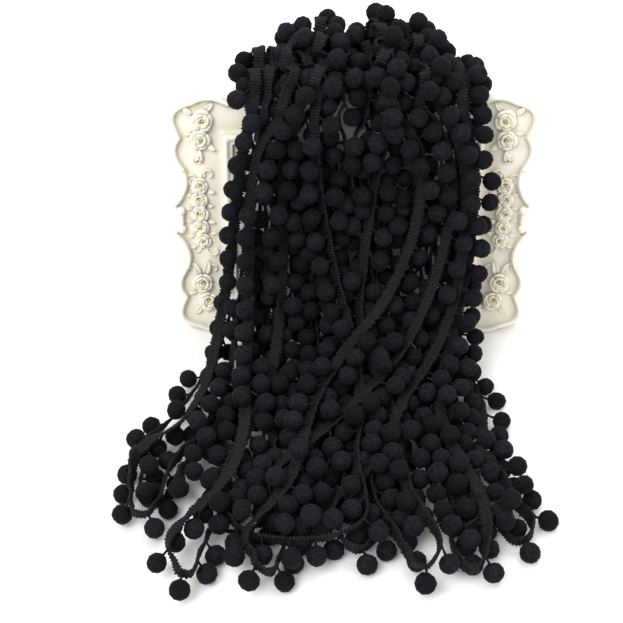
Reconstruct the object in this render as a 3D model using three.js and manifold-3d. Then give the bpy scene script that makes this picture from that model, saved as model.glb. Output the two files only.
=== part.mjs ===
// Pompom trim: one long band with pompoms along one edge, gathered into folds over the top of a
// leaning picture frame. The folds fall down its front and spread into loops on the table.
// Millimetres, +X right, +Y away from the viewer, +Z up. The origin is on the table, in the middle
// of the frame's foot.

import * as THREE from 'three';
import { mergeVertices } from 'three/addons/utils/BufferGeometryUtils.js';
import Module from 'manifold-3d';

const wasm = await Module();
wasm.setup();

// The trim itself.
const ballRadius = 6;
const ballPitch = 14.5;
const stemRadius = 1.2;
const bandWidth = 7.4;
const bandThickness = 2;
const stationStep = ballPitch / 2;

// The picture frame that it hangs from. Heights are measured up its leaning face.
const frame = {
  crown: 166,
  thickness: 12,
  lean: THREE.MathUtils.degToRad(17.5),
  opening: { width: 152, height: 100, middle: 80 },
  roundedEdge: 2,
  cove: { depth: 4, beadWidth: 7, rimShare: 0.91 },
  panel: { back: -0.8, thickness: 2 },
  board: { back: -5.5, thickness: 3 },
  strut: { width: 44, top: 100, head: 7, foot: 78, sole: 5 },
};
const leanSin = Math.sin(frame.lean);
const leanCos = Math.cos(frame.lean);
const topHeight = frame.crown;

// Gaps between pieces, and how far the trim's edges keep from the frame.
const gap = 0.3;
const edgeClearance = 2;

// The innermost layer runs up behind the frame, over its top, down its front, round a wide bend at
// its foot and out along the table. Other layers lie outside it.
const hangGap = frame.thickness / 2 + bandWidth / 2 - bandThickness / 2 + edgeClearance;
const footBend = 90;
const firstLayer = 4;
const layerStep = 2.9;
const layerPacked = 1.25;

// Distances down the innermost layer at which the table of falls gives a place across, in mm.
const levels = { crest: 0, high: 40, middle: 80, low: 130, apron: 200, hem: 265 };

// Each row is one fall from the frame's top to the table, in the order in which the band runs.
// Falls are joined two by two by a loop on the table, and each pair to the next by a loop behind
// the frame. crest to hem are places across at the levels, and toe and reach are where the fall
// ends on the table. layer is its place in the pile, 0 nearest the frame. side is where its pompoms
// are, -1 left and 1 right. back is how far down behind the frame it starts or ends.
const falls = [
  { crest: -58, high: -68, middle: -74, low: -78, apron: -88, hem: -108, toe: -130, reach: 276, layer: 14, side: -1, back: 52 },
  { crest: -50, high: -58, middle: -64, low: -70, apron: -78, hem: -92, toe: -112, reach: 306, layer: 11, side: 0, back: 34 },
  { crest: -36, high: -60, middle: -66, low: -66, apron: -64, hem: -62, toe: -104, reach: 344, layer: 18, side: 0.8, back: 34 },
  { crest: -14, high: -50, middle: -56, low: -54, apron: -58, hem: -80, toe: -84, reach: 328, layer: 8, side: 0, back: 40 },
  { crest: -28, high: -44, middle: -44, low: -43, apron: -48, hem: -66, toe: -72, reach: 326, layer: 15, side: -0.5, back: 40 },
  { crest: -22, high: -26, middle: -20, low: -10, apron: -2, hem: 3, toe: 6, reach: 324, layer: 19, side: 0.4, back: 30 },
  { crest: 14, high: 42, middle: 41, low: 30, apron: -4, hem: -30, toe: -62, reach: 342, layer: 21, side: 0.8, back: 30 },
  { crest: 0, high: 12, middle: 18, low: -5, apron: -35, hem: -50, toe: -40, reach: 330, layer: 5, side: 0, back: 36 },
  { crest: 34, high: 58, middle: 62, low: 53, apron: 36, hem: -14, toe: -52, reach: 306, layer: 20, side: 0.8, back: 36 },
  { crest: 8, high: 0, middle: -8, low: -24, apron: -22, hem: -34, toe: -22, reach: 296, layer: 10, side: 0, back: 34 },
  { crest: 44, high: 66, middle: 70, low: 68, apron: 58, hem: 20, toe: -16, reach: 314, layer: 17, side: 0.9, back: 34 },
  { crest: 26, high: 34, middle: 36, low: 30, apron: 24, hem: 4, toe: 12, reach: 326, layer: 4, side: 0, back: 42 },
  { crest: 20, high: 16, middle: 9, low: 5, apron: 2, hem: 24, toe: 44, reach: 342, layer: 16, side: 0.5, back: 42 },
  { crest: -8, high: -6, middle: 4, low: 12, apron: 12, hem: 10, toe: 22, reach: 334, layer: 12, side: 0, back: 36 },
  { crest: 62, high: 72, middle: 76, low: 70, apron: 62, hem: 50, toe: 70, reach: 334, layer: 13, side: 1, back: 36 },
  { crest: 52, high: 54, middle: 52, low: 50, apron: 46, hem: 38, toe: 52, reach: 340, layer: 6.5, side: 0, back: 46 },
  { crest: 66, high: 66, middle: 64, low: 66, apron: 70, hem: 74, toe: 98, reach: 318, layer: 3, side: 1, back: 46 },
  { crest: 40, high: 40, middle: 42, low: 44, apron: 56, hem: 60, toe: 80, reach: 316, layer: 2, side: 0, back: 54 },
  { crest: -44, high: -36, middle: -30, low: -28, apron: -14, hem: -4, toe: -8, reach: 310, layer: 1, side: 0, back: 54 },
  { crest: -66, high: -62, middle: -50, low: -60, apron: -68, hem: -90, toe: -60, reach: 300, layer: 0, side: 0, back: 34 },
];

// Loops bulge past the ends of their falls by these lengths, and are at least this wide.
const floorBulge = 14;
const backBulge = 10;
const narrowestLoop = 16;
const meander = 9;
const swayAngle = 20;

// The pile over the frame's top is a dome: layers drop towards its ends, and the band lies flat.
const crestMiddle = -4;
const crestReach = 72;
const crestDrop = 0.75;
const crestRoll = 0.3;

// How the solids are made: the straightest stretches of band that become one piece, the pompoms'
// rings and roots, and which pompoms are shown.
const flatness = 0.4;
const longestStraight = 6;
const ringAngle = THREE.MathUtils.degToRad(27);
const rootDepth = 1.6;
const bareEnd = 2;
const mostPompoms = 190;
const crowdReach = 26;
const openWeight = 1.5;
const outlineSteps = 3;
const tableStart = 215;
const widestStretch = 70;

// How the layers settle on each other.
const settling = {
  steps: 520,
  calmSteps: 200,
  rebuildEvery: 7,
  searchMargin: 2.6,
  lane: 2.6,
  laneRadius: 1.42,
  middleRadius: 1.1,
  clearance: 0.68,
  bandLift: 0.3,
  stemReach: 10.9,
  shortest: 0.8,
  drag: 0.9,
  pull: 0.012,
  gravity: 0.02,
  strength: 1.35,
};

// Places and normals on a layer, from the distance down the innermost one and the layer's offset.
const crestCentre = [
  (topHeight - frame.thickness / 2) * leanSin,
  (topHeight - frame.thickness / 2) * leanCos,
];
const crestHalf = (hangGap * (Math.PI - frame.lean)) / 2;
const frontNormal = [-leanCos, leanSin];
const frontStart = [
  crestCentre[0] + frontNormal[0] * hangGap,
  crestCentre[1] + frontNormal[1] * hangGap,
];
const tableHeight = bandThickness / 2;
const bendAngle = Math.PI / 2 - frame.lean;
const frontLength = (frontStart[1] - tableHeight) / leanCos - footBend * Math.tan(bendAngle / 2);
const bendStart = [frontStart[0] - leanSin * frontLength, frontStart[1] - leanCos * frontLength];
const bendCentre = [
  bendStart[0] + frontNormal[0] * footBend,
  bendStart[1] + frontNormal[1] * footBend,
];

function layerPoint(down, offset) {
  const place = (y, z, ny, nz) => ({ y: y + ny * offset, z: z + nz * offset, ny, nz });
  if (down < -crestHalf) {
    return place(crestCentre[0] + hangGap, crestCentre[1] + crestHalf + down, 1, 0);
  }
  if (down <= crestHalf) {
    const angle = (down + crestHalf) / hangGap;
    const ny = Math.cos(angle);
    const nz = Math.sin(angle);
    return place(crestCentre[0] + ny * hangGap, crestCentre[1] + nz * hangGap, ny, nz);
  }
  const alongFront = down - crestHalf;
  if (alongFront <= frontLength) {
    const y = frontStart[0] - leanSin * alongFront;
    return place(y, frontStart[1] - leanCos * alongFront, frontNormal[0], frontNormal[1]);
  }
  const turned = (alongFront - frontLength) / footBend;
  if (turned <= bendAngle) {
    const angle = -frame.lean - turned;
    const ny = -Math.cos(angle);
    const nz = -Math.sin(angle);
    return place(bendCentre[0] - ny * footBend, bendCentre[1] - nz * footBend, ny, nz);
  }
  const out = (turned - bendAngle) * footBend;
  return place(bendCentre[0] - out, tableHeight, 0, 1);
}

// The band's route as way points: place across, distance down, offset of the layer, and roll, which
// turns the band about its run so that its pompoms point to one side, out of the pile or the other.
function routePoints(step) {
  const points = [];
  const add = (across, down, layer, roll) => {
    points.push([across, down, firstLayer + step * layer, THREE.MathUtils.degToRad(roll)]);
  };
  const rollOf = (row) => 90 + 90 * falls[row].side * (row % 2 === 0 ? 1 : -1);
  const flatRoll = (roll) => (roll < 90.5 ? roll * crestRoll : 180 - (180 - roll) * crestRoll);
  const heaped = (fall) => fall.layer * (1 - crestDrop * ((fall.crest - crestMiddle) / crestReach) ** 2);
  const names = Object.keys(levels);
  falls.forEach((fall, row) => {
    const outgoing = row % 2 === 0;
    const other = falls[outgoing ? row + 1 : row - 1];
    const roll = rollOf(row);
    const run = names.map((name, index) => {
      const sway = swayAngle * Math.sin(1.7 * row + 2.3 * index);
      if (index === 0) return [fall.crest, 0, heaped(fall), flatRoll(roll)];
      return [fall[name], levels[name], fall.layer, roll + sway];
    });
    const bends = meander * (row % 4 < 2 ? 1 : -1);
    const last = run[run.length - 1];
    const before = run[run.length - 2];
    run.splice(run.length - 1, 0, [
      (last[0] + before[0]) / 2 + bends, (last[1] + before[1]) / 2, fall.layer, roll,
    ]);
    run.push([(last[0] + fall.toe) / 2 - bends, (last[1] + fall.reach) / 2, fall.layer * 0.85, roll]);
    run.push([fall.toe, fall.reach, fall.layer * 0.7, 0.5 * roll + 45]);
    run.unshift([fall.crest, -0.6 * fall.back, heaped(fall), flatRoll(roll)]);
    if (!outgoing) {
      const apex = [(fall.toe + other.toe) / 2, Math.max(fall.reach, other.reach) + floorBulge];
      add(apex[0], apex[1], (fall.layer + other.layer) * 0.35, 90);
      run.reverse();
    } else if (row > 0) {
      const prior = falls[row - 1];
      const spread = Math.max(0, narrowestLoop - Math.abs(fall.crest - prior.crest)) / 2;
      const sign = fall.crest >= prior.crest ? 1 : -1;
      add(prior.crest - sign * spread, -prior.back, heaped(prior), 0.5 * rollOf(row - 1) + 45);
      add((prior.crest + fall.crest) / 2, -prior.back - backBulge, (heaped(prior) + heaped(fall)) / 2, 90);
      add(fall.crest + sign * spread, -fall.back, heaped(fall), 0.5 * roll + 45);
    }
    run.forEach((point) => add(...point));
  });
  points[0][1] = -falls[0].back;
  points[points.length - 1][1] = -falls[falls.length - 1].back;
  return points;
}

// A smooth curve through the way points, cut into equal steps along its length in space.
function routeStations(layerSpacing) {
  const points = routePoints(layerSpacing);
  const count = points.length;
  const spans = [];
  for (let i = 0; i + 1 < count; i += 1) {
    spans.push(Math.hypot(points[i + 1][0] - points[i][0], points[i + 1][1] - points[i][1]) + 1);
  }
  const slope = (i, c) => {
    if (i === 0) return (points[1][c] - points[0][c]) / spans[0];
    if (i === count - 1) return (points[i][c] - points[i - 1][c]) / spans[i - 1];
    const before = (points[i][c] - points[i - 1][c]) / spans[i - 1];
    const after = (points[i + 1][c] - points[i][c]) / spans[i];
    return (before * spans[i] + after * spans[i - 1]) / (spans[i - 1] + spans[i]);
  };
  const fine = [];
  for (let i = 0; i + 1 < count; i += 1) {
    const pieces = Math.ceil(spans[i] / 1.5);
    for (let k = 0; k < pieces; k += 1) {
      const u = k / pieces;
      const values = [0, 1, 2, 3].map((c) => {
        const h = spans[i];
        const a = points[i][c];
        const b = points[i + 1][c];
        const rise = u * u * (3 - 2 * u);
        const leave = u * (1 - u) * (1 - u) * h * slope(i, c);
        const arrive = u * u * (1 - u) * h * slope(i + 1, c);
        return a + (b - a) * rise + leave - arrive;
      });
      const [x, down, offset, roll] = values;
      fine.push({ x, down, offset, roll, ...layerPoint(down, offset) });
    }
  }
  const stations = [];
  let travelled = 0;
  let next = 0;
  for (let i = 0; i + 1 < fine.length; i += 1) {
    const a = fine[i];
    const b = fine[i + 1];
    const length = Math.hypot(b.x - a.x, b.y - a.y, b.z - a.z);
    while (next <= travelled + length) {
      const u = (next - travelled) / length;
      const mix = (key) => a[key] + (b[key] - a[key]) * u;
      stations.push({
        place: new THREE.Vector3(mix('x'), mix('y'), mix('z')),
        normal: new THREE.Vector3(0, mix('ny'), mix('nz')).normalize(),
        offset: mix('offset'),
        down: mix('down'),
        roll: mix('roll'),
      });
      next += stationStep;
    }
    travelled += length;
  }
  if (stations.length % 2 === 0) stations.pop();
  return stations;
}

// Points that the settling moves: the plain edge and the pompom edge of the band at each station,
// then a pompom at every second station.
const round = (value) => Math.floor(value * 1e4 + 0.5) / 1e4;
const stations = routeStations(layerStep);
const stationCount = stations.length;
const ballCount = (stationCount + 1) / 2;
const pointCount = 2 * stationCount + ballCount;

function startPlaces() {
  const places = new Float64Array(3 * pointCount);
  const put = (index, v) => v.toArray().forEach((value, c) => { places[3 * index + c] = round(value); });
  stations.forEach(({ place, normal, roll }, k) => {
    const ahead = stations[Math.min(k + 1, stationCount - 1)].place;
    const behind = stations[Math.max(k - 1, 0)].place;
    const run = ahead.clone().sub(behind).normalize();
    const across = run.clone().cross(normal).normalize();
    const out = across.clone().cross(run);
    const edge = across.clone().multiplyScalar(Math.cos(roll)).addScaledVector(out, Math.sin(roll));
    const lane = settling.lane;
    put(k, place.clone().addScaledVector(edge, -lane));
    put(stationCount + k, place.clone().addScaledVector(edge, lane));
    if (k % 2 === 0) {
      const lean = edge.clone().addScaledVector(across, 0.3).add(new THREE.Vector3(0, 0, -0.5));
      lean.setLength(settling.stemReach - 0.5);
      put(2 * stationCount + k / 2, place.clone().addScaledVector(edge, lane).add(lean));
    }
  });
  return places;
}

// Where the band is drawn to as its layers pack together.
function packedPlaces(start) {
  const target = new Float64Array(3 * 2 * stationCount);
  const squeeze = 1 - layerPacked / layerStep;
  stations.forEach(({ normal, offset }, k) => {
    const shift = (firstLayer - offset) * squeeze;
    [k, stationCount + k].forEach((index) => {
      target[3 * index] = start[3 * index];
      target[3 * index + 1] = round(start[3 * index + 1] + normal.y * shift);
      target[3 * index + 2] = round(start[3 * index + 2] + normal.z * shift);
    });
  });
  return target;
}

class Settling {
  constructor() {
    this.p = startPlaces();
    this.target = packedPlaces(this.p);
    this.last = Float64Array.from(this.p);
    this.move = new Float64Array(3 * pointCount);
    this.count = new Float64Array(pointCount);
    this.links = this.makeLinks();
    this.balls = this.makeBalls();
    this.quads = stationCount - 1;
  }

  makeLinks() {
    const n = stationCount;
    const wide = 2 * settling.lane;
    const long = stationStep;
    const slant = Math.sqrt(wide * wide + long * long);
    const links = [];
    for (let k = 0; k < n; k += 1) links.push([k, n + k, wide, wide]);
    for (let k = 0; k + 1 < n; k += 1) {
      links.push([k, k + 1, long * settling.shortest, long * 1.01]);
      links.push([n + k, n + k + 1, long * settling.shortest, long * 1.01]);
      links.push([k, n + k + 1, slant * 0.88, slant * 1.06]);
      links.push([n + k, k + 1, slant * 0.88, slant * 1.06]);
    }
    for (let k = 0; k + 2 < n; k += 1) {
      links.push([k, k + 2, 11.5, 2 * long]);
      links.push([n + k, n + k + 2, 11.5, 2 * long]);
    }
    for (let j = 0; j < ballCount; j += 1) {
      links.push([n + 2 * j, 2 * n + j, 8.2, settling.stemReach]);
    }
    return links;
  }

  // Round bodies that must keep clear: each pompom, and a spot on its stem next to the band.
  makeBalls() {
    const balls = [];
    for (let j = 0; j < ballCount; j += 1) {
      const edge = stationCount + 2 * j;
      const ball = 2 * stationCount + j;
      balls.push({ a: ball, b: edge, share: 0, radius: ballRadius, own: 2 * j });
      balls.push({ a: ball, b: edge, share: 0.7, radius: stemRadius + 0.1, own: 2 * j });
    }
    return balls;
  }

  clear() {
    this.move.fill(0);
    this.count.fill(0);
  }

  push(index, x, y, z) {
    this.move[3 * index] += x;
    this.move[3 * index + 1] += y;
    this.move[3 * index + 2] += z;
    this.count[index] += 1;
  }

  apply() {
    const { p, move, count } = this;
    for (let i = 0; i < pointCount; i += 1) {
      if (count[i] === 0) continue;
      const share = settling.strength / Math.max(count[i], settling.strength);
      p[3 * i] += move[3 * i] * share;
      p[3 * i + 1] += move[3 * i + 1] * share;
      p[3 * i + 2] += move[3 * i + 2] * share;
    }
  }

  holdLinks() {
    const { p } = this;
    this.clear();
    for (const [i, j, least, most] of this.links) {
      const x = p[3 * j] - p[3 * i];
      const y = p[3 * j + 1] - p[3 * i + 1];
      const z = p[3 * j + 2] - p[3 * i + 2];
      const d = Math.sqrt(x * x + y * y + z * z);
      const want = Math.min(Math.max(d, least), most);
      if (want === d) continue;
      const s = (0.5 * (d - want)) / d;
      this.push(i, x * s, y * s, z * s);
      this.push(j, -x * s, -y * s, -z * s);
    }
    this.apply();
  }

  ballPlaces() {
    const { p } = this;
    const out = new Float64Array(3 * this.balls.length);
    this.balls.forEach(({ a, b, share }, i) => {
      for (let c = 0; c < 3; c += 1) {
        out[3 * i + c] = p[3 * a + c] * (1 - share) + p[3 * b + c] * share;
      }
    });
    return out;
  }

  quadMiddles() {
    const { p } = this;
    const n = stationCount;
    const out = new Float64Array(3 * this.quads);
    for (let k = 0; k < this.quads; k += 1) {
      for (let c = 0; c < 3; c += 1) {
        const sum = p[3 * k + c] + p[3 * (n + k) + c] + p[3 * (k + 1) + c] + p[3 * (n + k + 1) + c];
        out[3 * k + c] = 0.25 * sum;
      }
    }
    return out;
  }

  findPairs() {
    const margin = settling.searchMargin;
    const balls = this.ballPlaces();
    const quads = this.quadMiddles();
    const quadRadius = 0.5 * Math.sqrt(stationStep * stationStep + 4 * settling.lane * settling.lane);
    const ballReach = this.balls.map(({ radius }) => radius + gap / 2);
    const quadReach = quadRadius + settling.laneRadius + gap / 2;
    const { balls: info } = this;
    this.ballPairs = nearPairs(balls, ballReach, balls, ballReach, margin, true)
      .filter(([i, j]) => info[i].own !== info[j].own);
    this.ballQuads = nearPairs(balls, ballReach, quads, quadReach, margin, false)
      .filter(([i, k]) => info[i].radius === ballRadius || k < info[i].own - 1 || k > info[i].own);
    this.quadPairs = nearPairs(quads, quadReach, quads, quadReach, margin, true)
      .filter(([k, l]) => l - k >= 3);
  }

  partBalls() {
    const { p, balls } = this;
    this.clear();
    for (const [i, j] of this.ballPairs) {
      const one = balls[i];
      const two = balls[j];
      const v = [0, 0, 0];
      for (let c = 0; c < 3; c += 1) {
        const from = p[3 * one.a + c] * (1 - one.share) + p[3 * one.b + c] * one.share;
        const to = p[3 * two.a + c] * (1 - two.share) + p[3 * two.b + c] * two.share;
        v[c] = to - from;
      }
      const least = one.radius + two.radius + gap + 0.05;
      const dd = v[0] * v[0] + v[1] * v[1] + v[2] * v[2];
      if (dd >= least * least) continue;
      const d = Math.sqrt(dd);
      const s = (0.5 * (least - d)) / Math.max(d, 0.001);
      const w1 = 1 - one.share;
      const w2 = 1 - two.share;
      this.push(one.a, -v[0] * s * w1, -v[1] * s * w1, -v[2] * s * w1);
      if (one.share > 0) this.push(one.b, -v[0] * s, -v[1] * s, -v[2] * s);
      this.push(two.a, v[0] * s * w2, v[1] * s * w2, v[2] * s * w2);
      if (two.share > 0) this.push(two.b, v[0] * s, v[1] * s, v[2] * s);
    }
    this.apply();
  }

  // A lane is a line along the band: 0 its plain edge, 1 its middle, 2 its pompom edge.
  lanePoint(station, lane, c) {
    const { p } = this;
    const n = stationCount;
    if (lane === 0) return p[3 * station + c];
    if (lane === 2) return p[3 * (n + station) + c];
    return 0.5 * (p[3 * station + c] + p[3 * (n + station) + c]);
  }

  pushLane(station, lane, weight, x, y, z) {
    const n = stationCount;
    if (lane !== 2) this.push(station, x * weight, y * weight, z * weight);
    if (lane !== 0) this.push(n + station, x * weight, y * weight, z * weight);
  }

  partBallsFromBand() {
    const { p, balls } = this;
    this.clear();
    for (const [i, k] of this.ballQuads) {
      const one = balls[i];
      for (let lane = 0; lane < 3; lane += 1) {
        const a = [0, 0, 0];
        const v = [0, 0, 0];
        const q = [0, 0, 0];
        for (let c = 0; c < 3; c += 1) {
          a[c] = this.lanePoint(k, lane, c);
          v[c] = this.lanePoint(k + 1, lane, c) - a[c];
          q[c] = p[3 * one.a + c] * (1 - one.share) + p[3 * one.b + c] * one.share - a[c];
        }
        const vv = v[0] * v[0] + v[1] * v[1] + v[2] * v[2];
        const qv = q[0] * v[0] + q[1] * v[1] + q[2] * v[2];
        const u = Math.min(Math.max(qv / vv, 0), 1);
        const x = q[0] - v[0] * u;
        const y = q[1] - v[1] * u;
        const z = q[2] - v[2] * u;
        const dd = x * x + y * y + z * z;
        const least = one.radius + (lane === 1 ? settling.middleRadius : settling.laneRadius) + settling.clearance;
        if (dd >= least * least) continue;
        const d = Math.sqrt(dd);
        const s = (0.5 * (least - d)) / Math.max(d, 0.001);
        this.push(one.a, x * s, y * s, z * s);
        if (one.share > 0) this.push(one.b, x * s, y * s, z * s);
        this.pushLane(k, lane, -(1 - u), x * s, y * s, z * s);
        this.pushLane(k + 1, lane, -u, x * s, y * s, z * s);
      }
    }
    this.apply();
  }

  partBands() {
    this.clear();
    const r = [0, 0, 0];
    const d1 = [0, 0, 0];
    const d2 = [0, 0, 0];
    for (const [k, l] of this.quadPairs) {
      for (let m = 0; m < 3; m += 1) {
        for (let n = 0; n < 3; n += 1) {
          for (let c = 0; c < 3; c += 1) {
            const p1 = this.lanePoint(k, m, c);
            const p2 = this.lanePoint(l, n, c);
            d1[c] = this.lanePoint(k + 1, m, c) - p1;
            d2[c] = this.lanePoint(l + 1, n, c) - p2;
            r[c] = p1 - p2;
          }
          const a = d1[0] * d1[0] + d1[1] * d1[1] + d1[2] * d1[2];
          const e = d2[0] * d2[0] + d2[1] * d2[1] + d2[2] * d2[2];
          const b = d1[0] * d2[0] + d1[1] * d2[1] + d1[2] * d2[2];
          const c1 = d1[0] * r[0] + d1[1] * r[1] + d1[2] * r[2];
          const f = d2[0] * r[0] + d2[1] * r[1] + d2[2] * r[2];
          const denom = Math.max(a * e - b * b, 1e-6);
          let s = Math.min(Math.max((b * f - c1 * e) / denom, 0), 1);
          const t = Math.min(Math.max((b * s + f) / e, 0), 1);
          s = Math.min(Math.max((b * t - c1) / a, 0), 1);
          const x = r[0] + d1[0] * s - d2[0] * t;
          const y = r[1] + d1[1] * s - d2[1] * t;
          const z = r[2] + d1[2] * s - d2[2] * t;
          const dd = x * x + y * y + z * z;
          const one = m === 1 ? settling.middleRadius : settling.laneRadius;
          const two = n === 1 ? settling.middleRadius : settling.laneRadius;
          const least = one + two + settling.clearance;
          if (dd >= least * least) continue;
          const d = Math.sqrt(dd);
          const g = (0.5 * (least - d)) / Math.max(d, 0.001);
          this.pushLane(k, m, 1 - s, x * g, y * g, z * g);
          this.pushLane(k + 1, m, s, x * g, y * g, z * g);
          this.pushLane(l, n, -(1 - t), x * g, y * g, z * g);
          this.pushLane(l + 1, n, -t, x * g, y * g, z * g);
        }
      }
    }
    this.apply();
  }

  // Nothing goes below the table or into the frame.
  keepOut() {
    const { p } = this;
    for (let i = 0; i < pointCount; i += 1) {
      const radius = i < 2 * stationCount ? settling.laneRadius : ballRadius;
      const y = p[3 * i + 1];
      const z = p[3 * i + 2];
      const rise = y * leanSin + z * leanCos;
      const along = Math.min(Math.max(rise, 0), topHeight - frame.thickness / 2);
      const dy = y - along * leanSin;
      const dz = z - along * leanCos;
      const d = Math.sqrt(dy * dy + dz * dz);
      const least = frame.thickness / 2 + edgeClearance + radius;
      if (d < least) {
        const s = least / Math.max(d, 0.001);
        p[3 * i + 1] = along * leanSin + dy * s;
        p[3 * i + 2] = along * leanCos + dz * s;
      }
      const lift = i < 2 * stationCount ? settling.bandLift : 0;
      p[3 * i + 2] = Math.max(p[3 * i + 2], radius + lift);
    }
  }

  step(number) {
    const { p, last, target } = this;
    const fade = number < settling.steps - settling.calmSteps ? 1 : 0;
    for (let i = 0; i < pointCount; i += 1) {
      for (let c = 0; c < 3; c += 1) {
        const at = 3 * i + c;
        const drift = Math.min(Math.max((p[at] - last[at]) * settling.drag, -0.4), 0.4);
        last[at] = p[at];
        p[at] += drift * fade;
        if (i < 2 * stationCount) p[at] += (target[at] - p[at]) * settling.pull * fade;
      }
      if (i >= 2 * stationCount) p[3 * i + 2] -= settling.gravity * fade;
    }
    if (number % settling.rebuildEvery === 0) this.findPairs();
    this.holdLinks();
    this.partBands();
    this.partBallsFromBand();
    this.partBalls();
    this.keepOut();
  }
}

// Pairs of round bodies from two lists whose surfaces are nearer than a margin, in sorted order.
function nearPairs(first, firstReach, second, secondReach, margin, same) {
  const cell = 16;
  const key = (x, y, z) => (x + 64) * 16384 + (y + 64) * 128 + z + 64;
  const cells = new Map();
  const size = secondReach.length ?? second.length / 3;
  for (let j = 0; j < size; j += 1) {
    const at = key(
      Math.floor(second[3 * j] / cell),
      Math.floor(second[3 * j + 1] / cell),
      Math.floor(second[3 * j + 2] / cell),
    );
    if (!cells.has(at)) cells.set(at, []);
    cells.get(at).push(j);
  }
  const pairs = [];
  const firstSize = firstReach.length ?? first.length / 3;
  for (let i = 0; i < firstSize; i += 1) {
    const found = [];
    const cx = Math.floor(first[3 * i] / cell);
    const cy = Math.floor(first[3 * i + 1] / cell);
    const cz = Math.floor(first[3 * i + 2] / cell);
    for (let a = -1; a <= 1; a += 1) {
      for (let b = -1; b <= 1; b += 1) {
        for (let c = -1; c <= 1; c += 1) {
          for (const j of cells.get(key(cx + a, cy + b, cz + c)) ?? []) {
            if (same && j <= i) continue;
            const x = second[3 * j] - first[3 * i];
            const y = second[3 * j + 1] - first[3 * i + 1];
            const z = second[3 * j + 2] - first[3 * i + 2];
            const reach = (firstReach[i] ?? firstReach) + (secondReach[j] ?? secondReach) + margin;
            if (x * x + y * y + z * z < reach * reach) found.push(j);
          }
        }
      }
    }
    found.sort((a, b) => a - b).forEach((j) => pairs.push([i, j]));
  }
  return pairs;
}

const settled = new Settling();
for (let number = 0; number < settling.steps; number += 1) settled.step(number);

// The settled band: its middle line, and at each station the directions along and across it.
const settledPoint = (index) => new THREE.Vector3().fromArray(settled.p, 3 * index);
const band = stations.map((station, k) => {
  const plain = settledPoint(k);
  const held = settledPoint(stationCount + k);
  return {
    middle: plain.clone().lerp(held, 0.5),
    across: held.clone().sub(plain).normalize(),
    down: station.down,
  };
});
band.forEach((station, k) => {
  const ahead = band[Math.min(k + 1, stationCount - 1)].middle;
  const behind = band[Math.max(k - 1, 0)].middle;
  const along = ahead.clone().sub(behind);
  station.along = along.addScaledVector(station.across, -along.dot(station.across)).normalize();
  station.through = new THREE.Vector3().crossVectors(station.along, station.across);
});

function solidFrom(vertices, triangles) {
  const mesh = new wasm.Mesh({
    numProp: 3,
    vertProperties: Float32Array.from(vertices),
    triVerts: Uint32Array.from(triangles),
  });
  mesh.merge();
  return new wasm.Manifold(mesh);
}

// A closed skin over rings of points that follow each other, with a point or a flat cap at each end.
function skinRings(rings) {
  const vertices = [];
  const starts = [];
  rings.forEach((ring) => {
    starts.push(vertices.length / 3);
    ring.forEach((point) => vertices.push(point.x, point.y, point.z));
  });
  const triangles = [];
  for (let i = 0; i + 1 < rings.length; i += 1) {
    const one = rings[i].length;
    const two = rings[i + 1].length;
    for (let k = 0; k < Math.max(one, two); k += 1) {
      const a = starts[i] + (k % one);
      const b = starts[i] + ((k + 1) % one);
      const c = starts[i + 1] + (k % two);
      const d = starts[i + 1] + ((k + 1) % two);
      if (one > 1) triangles.push(a, b, c);
      if (two > 1) triangles.push(one > 1 ? b : a, d, c);
    }
  }
  const cap = (start, count, flip) => {
    for (let k = 1; k + 1 < count; k += 1) {
      triangles.push(start, start + (flip ? k + 1 : k), start + (flip ? k : k + 1));
    }
  };
  cap(starts[0], rings[0].length, true);
  cap(starts[starts.length - 1], rings[rings.length - 1].length, false);
  const solid = solidFrom(vertices, triangles);
  if (solid.volume() > 0) return solid;
  for (let t = 0; t < triangles.length; t += 3) {
    [triangles[t + 1], triangles[t + 2]] = [triangles[t + 2], triangles[t + 1]];
  }
  return solidFrom(vertices, triangles);
}

// The next station along a stretch that a straight piece of band can reach.
function straightReach(from, last) {
  let best = from + 1;
  for (let to = from + 2; to <= Math.min(from + longestStraight, last); to += 1) {
    const start = band[from];
    const end = band[to];
    for (let k = from + 1; k < to; k += 1) {
      const share = (k - from) / (to - from);
      for (const side of [-1, 1]) {
        const at = (station) => station.middle.clone().addScaledVector(station.across, side * settling.lane);
        const straight = at(start).lerp(at(end), share);
        if (straight.distanceTo(at(band[k])) > flatness) return best;
      }
    }
    best = to;
  }
  return best;
}

function bandStretch(from, to) {
  const rings = [];
  const addRing = (k, shift) => {
    const { middle, across, along, through } = band[k];
    const corner = (u, v) => middle.clone()
      .addScaledVector(across, (u * bandWidth) / 2)
      .addScaledVector(through, (v * bandThickness) / 2)
      .addScaledVector(along, shift);
    rings.push([corner(-1, -1), corner(1, -1), corner(1, 1), corner(-1, 1)]);
  };
  addRing(from, from === 0 ? -bareEnd : gap / 2);
  let k = from;
  while (k < to) {
    k = straightReach(k, to);
    if (k < to) addRing(k, 0);
  }
  addRing(to, to === stationCount - 1 ? bareEnd : -gap / 2);
  return skinRings(rings);
}

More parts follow.
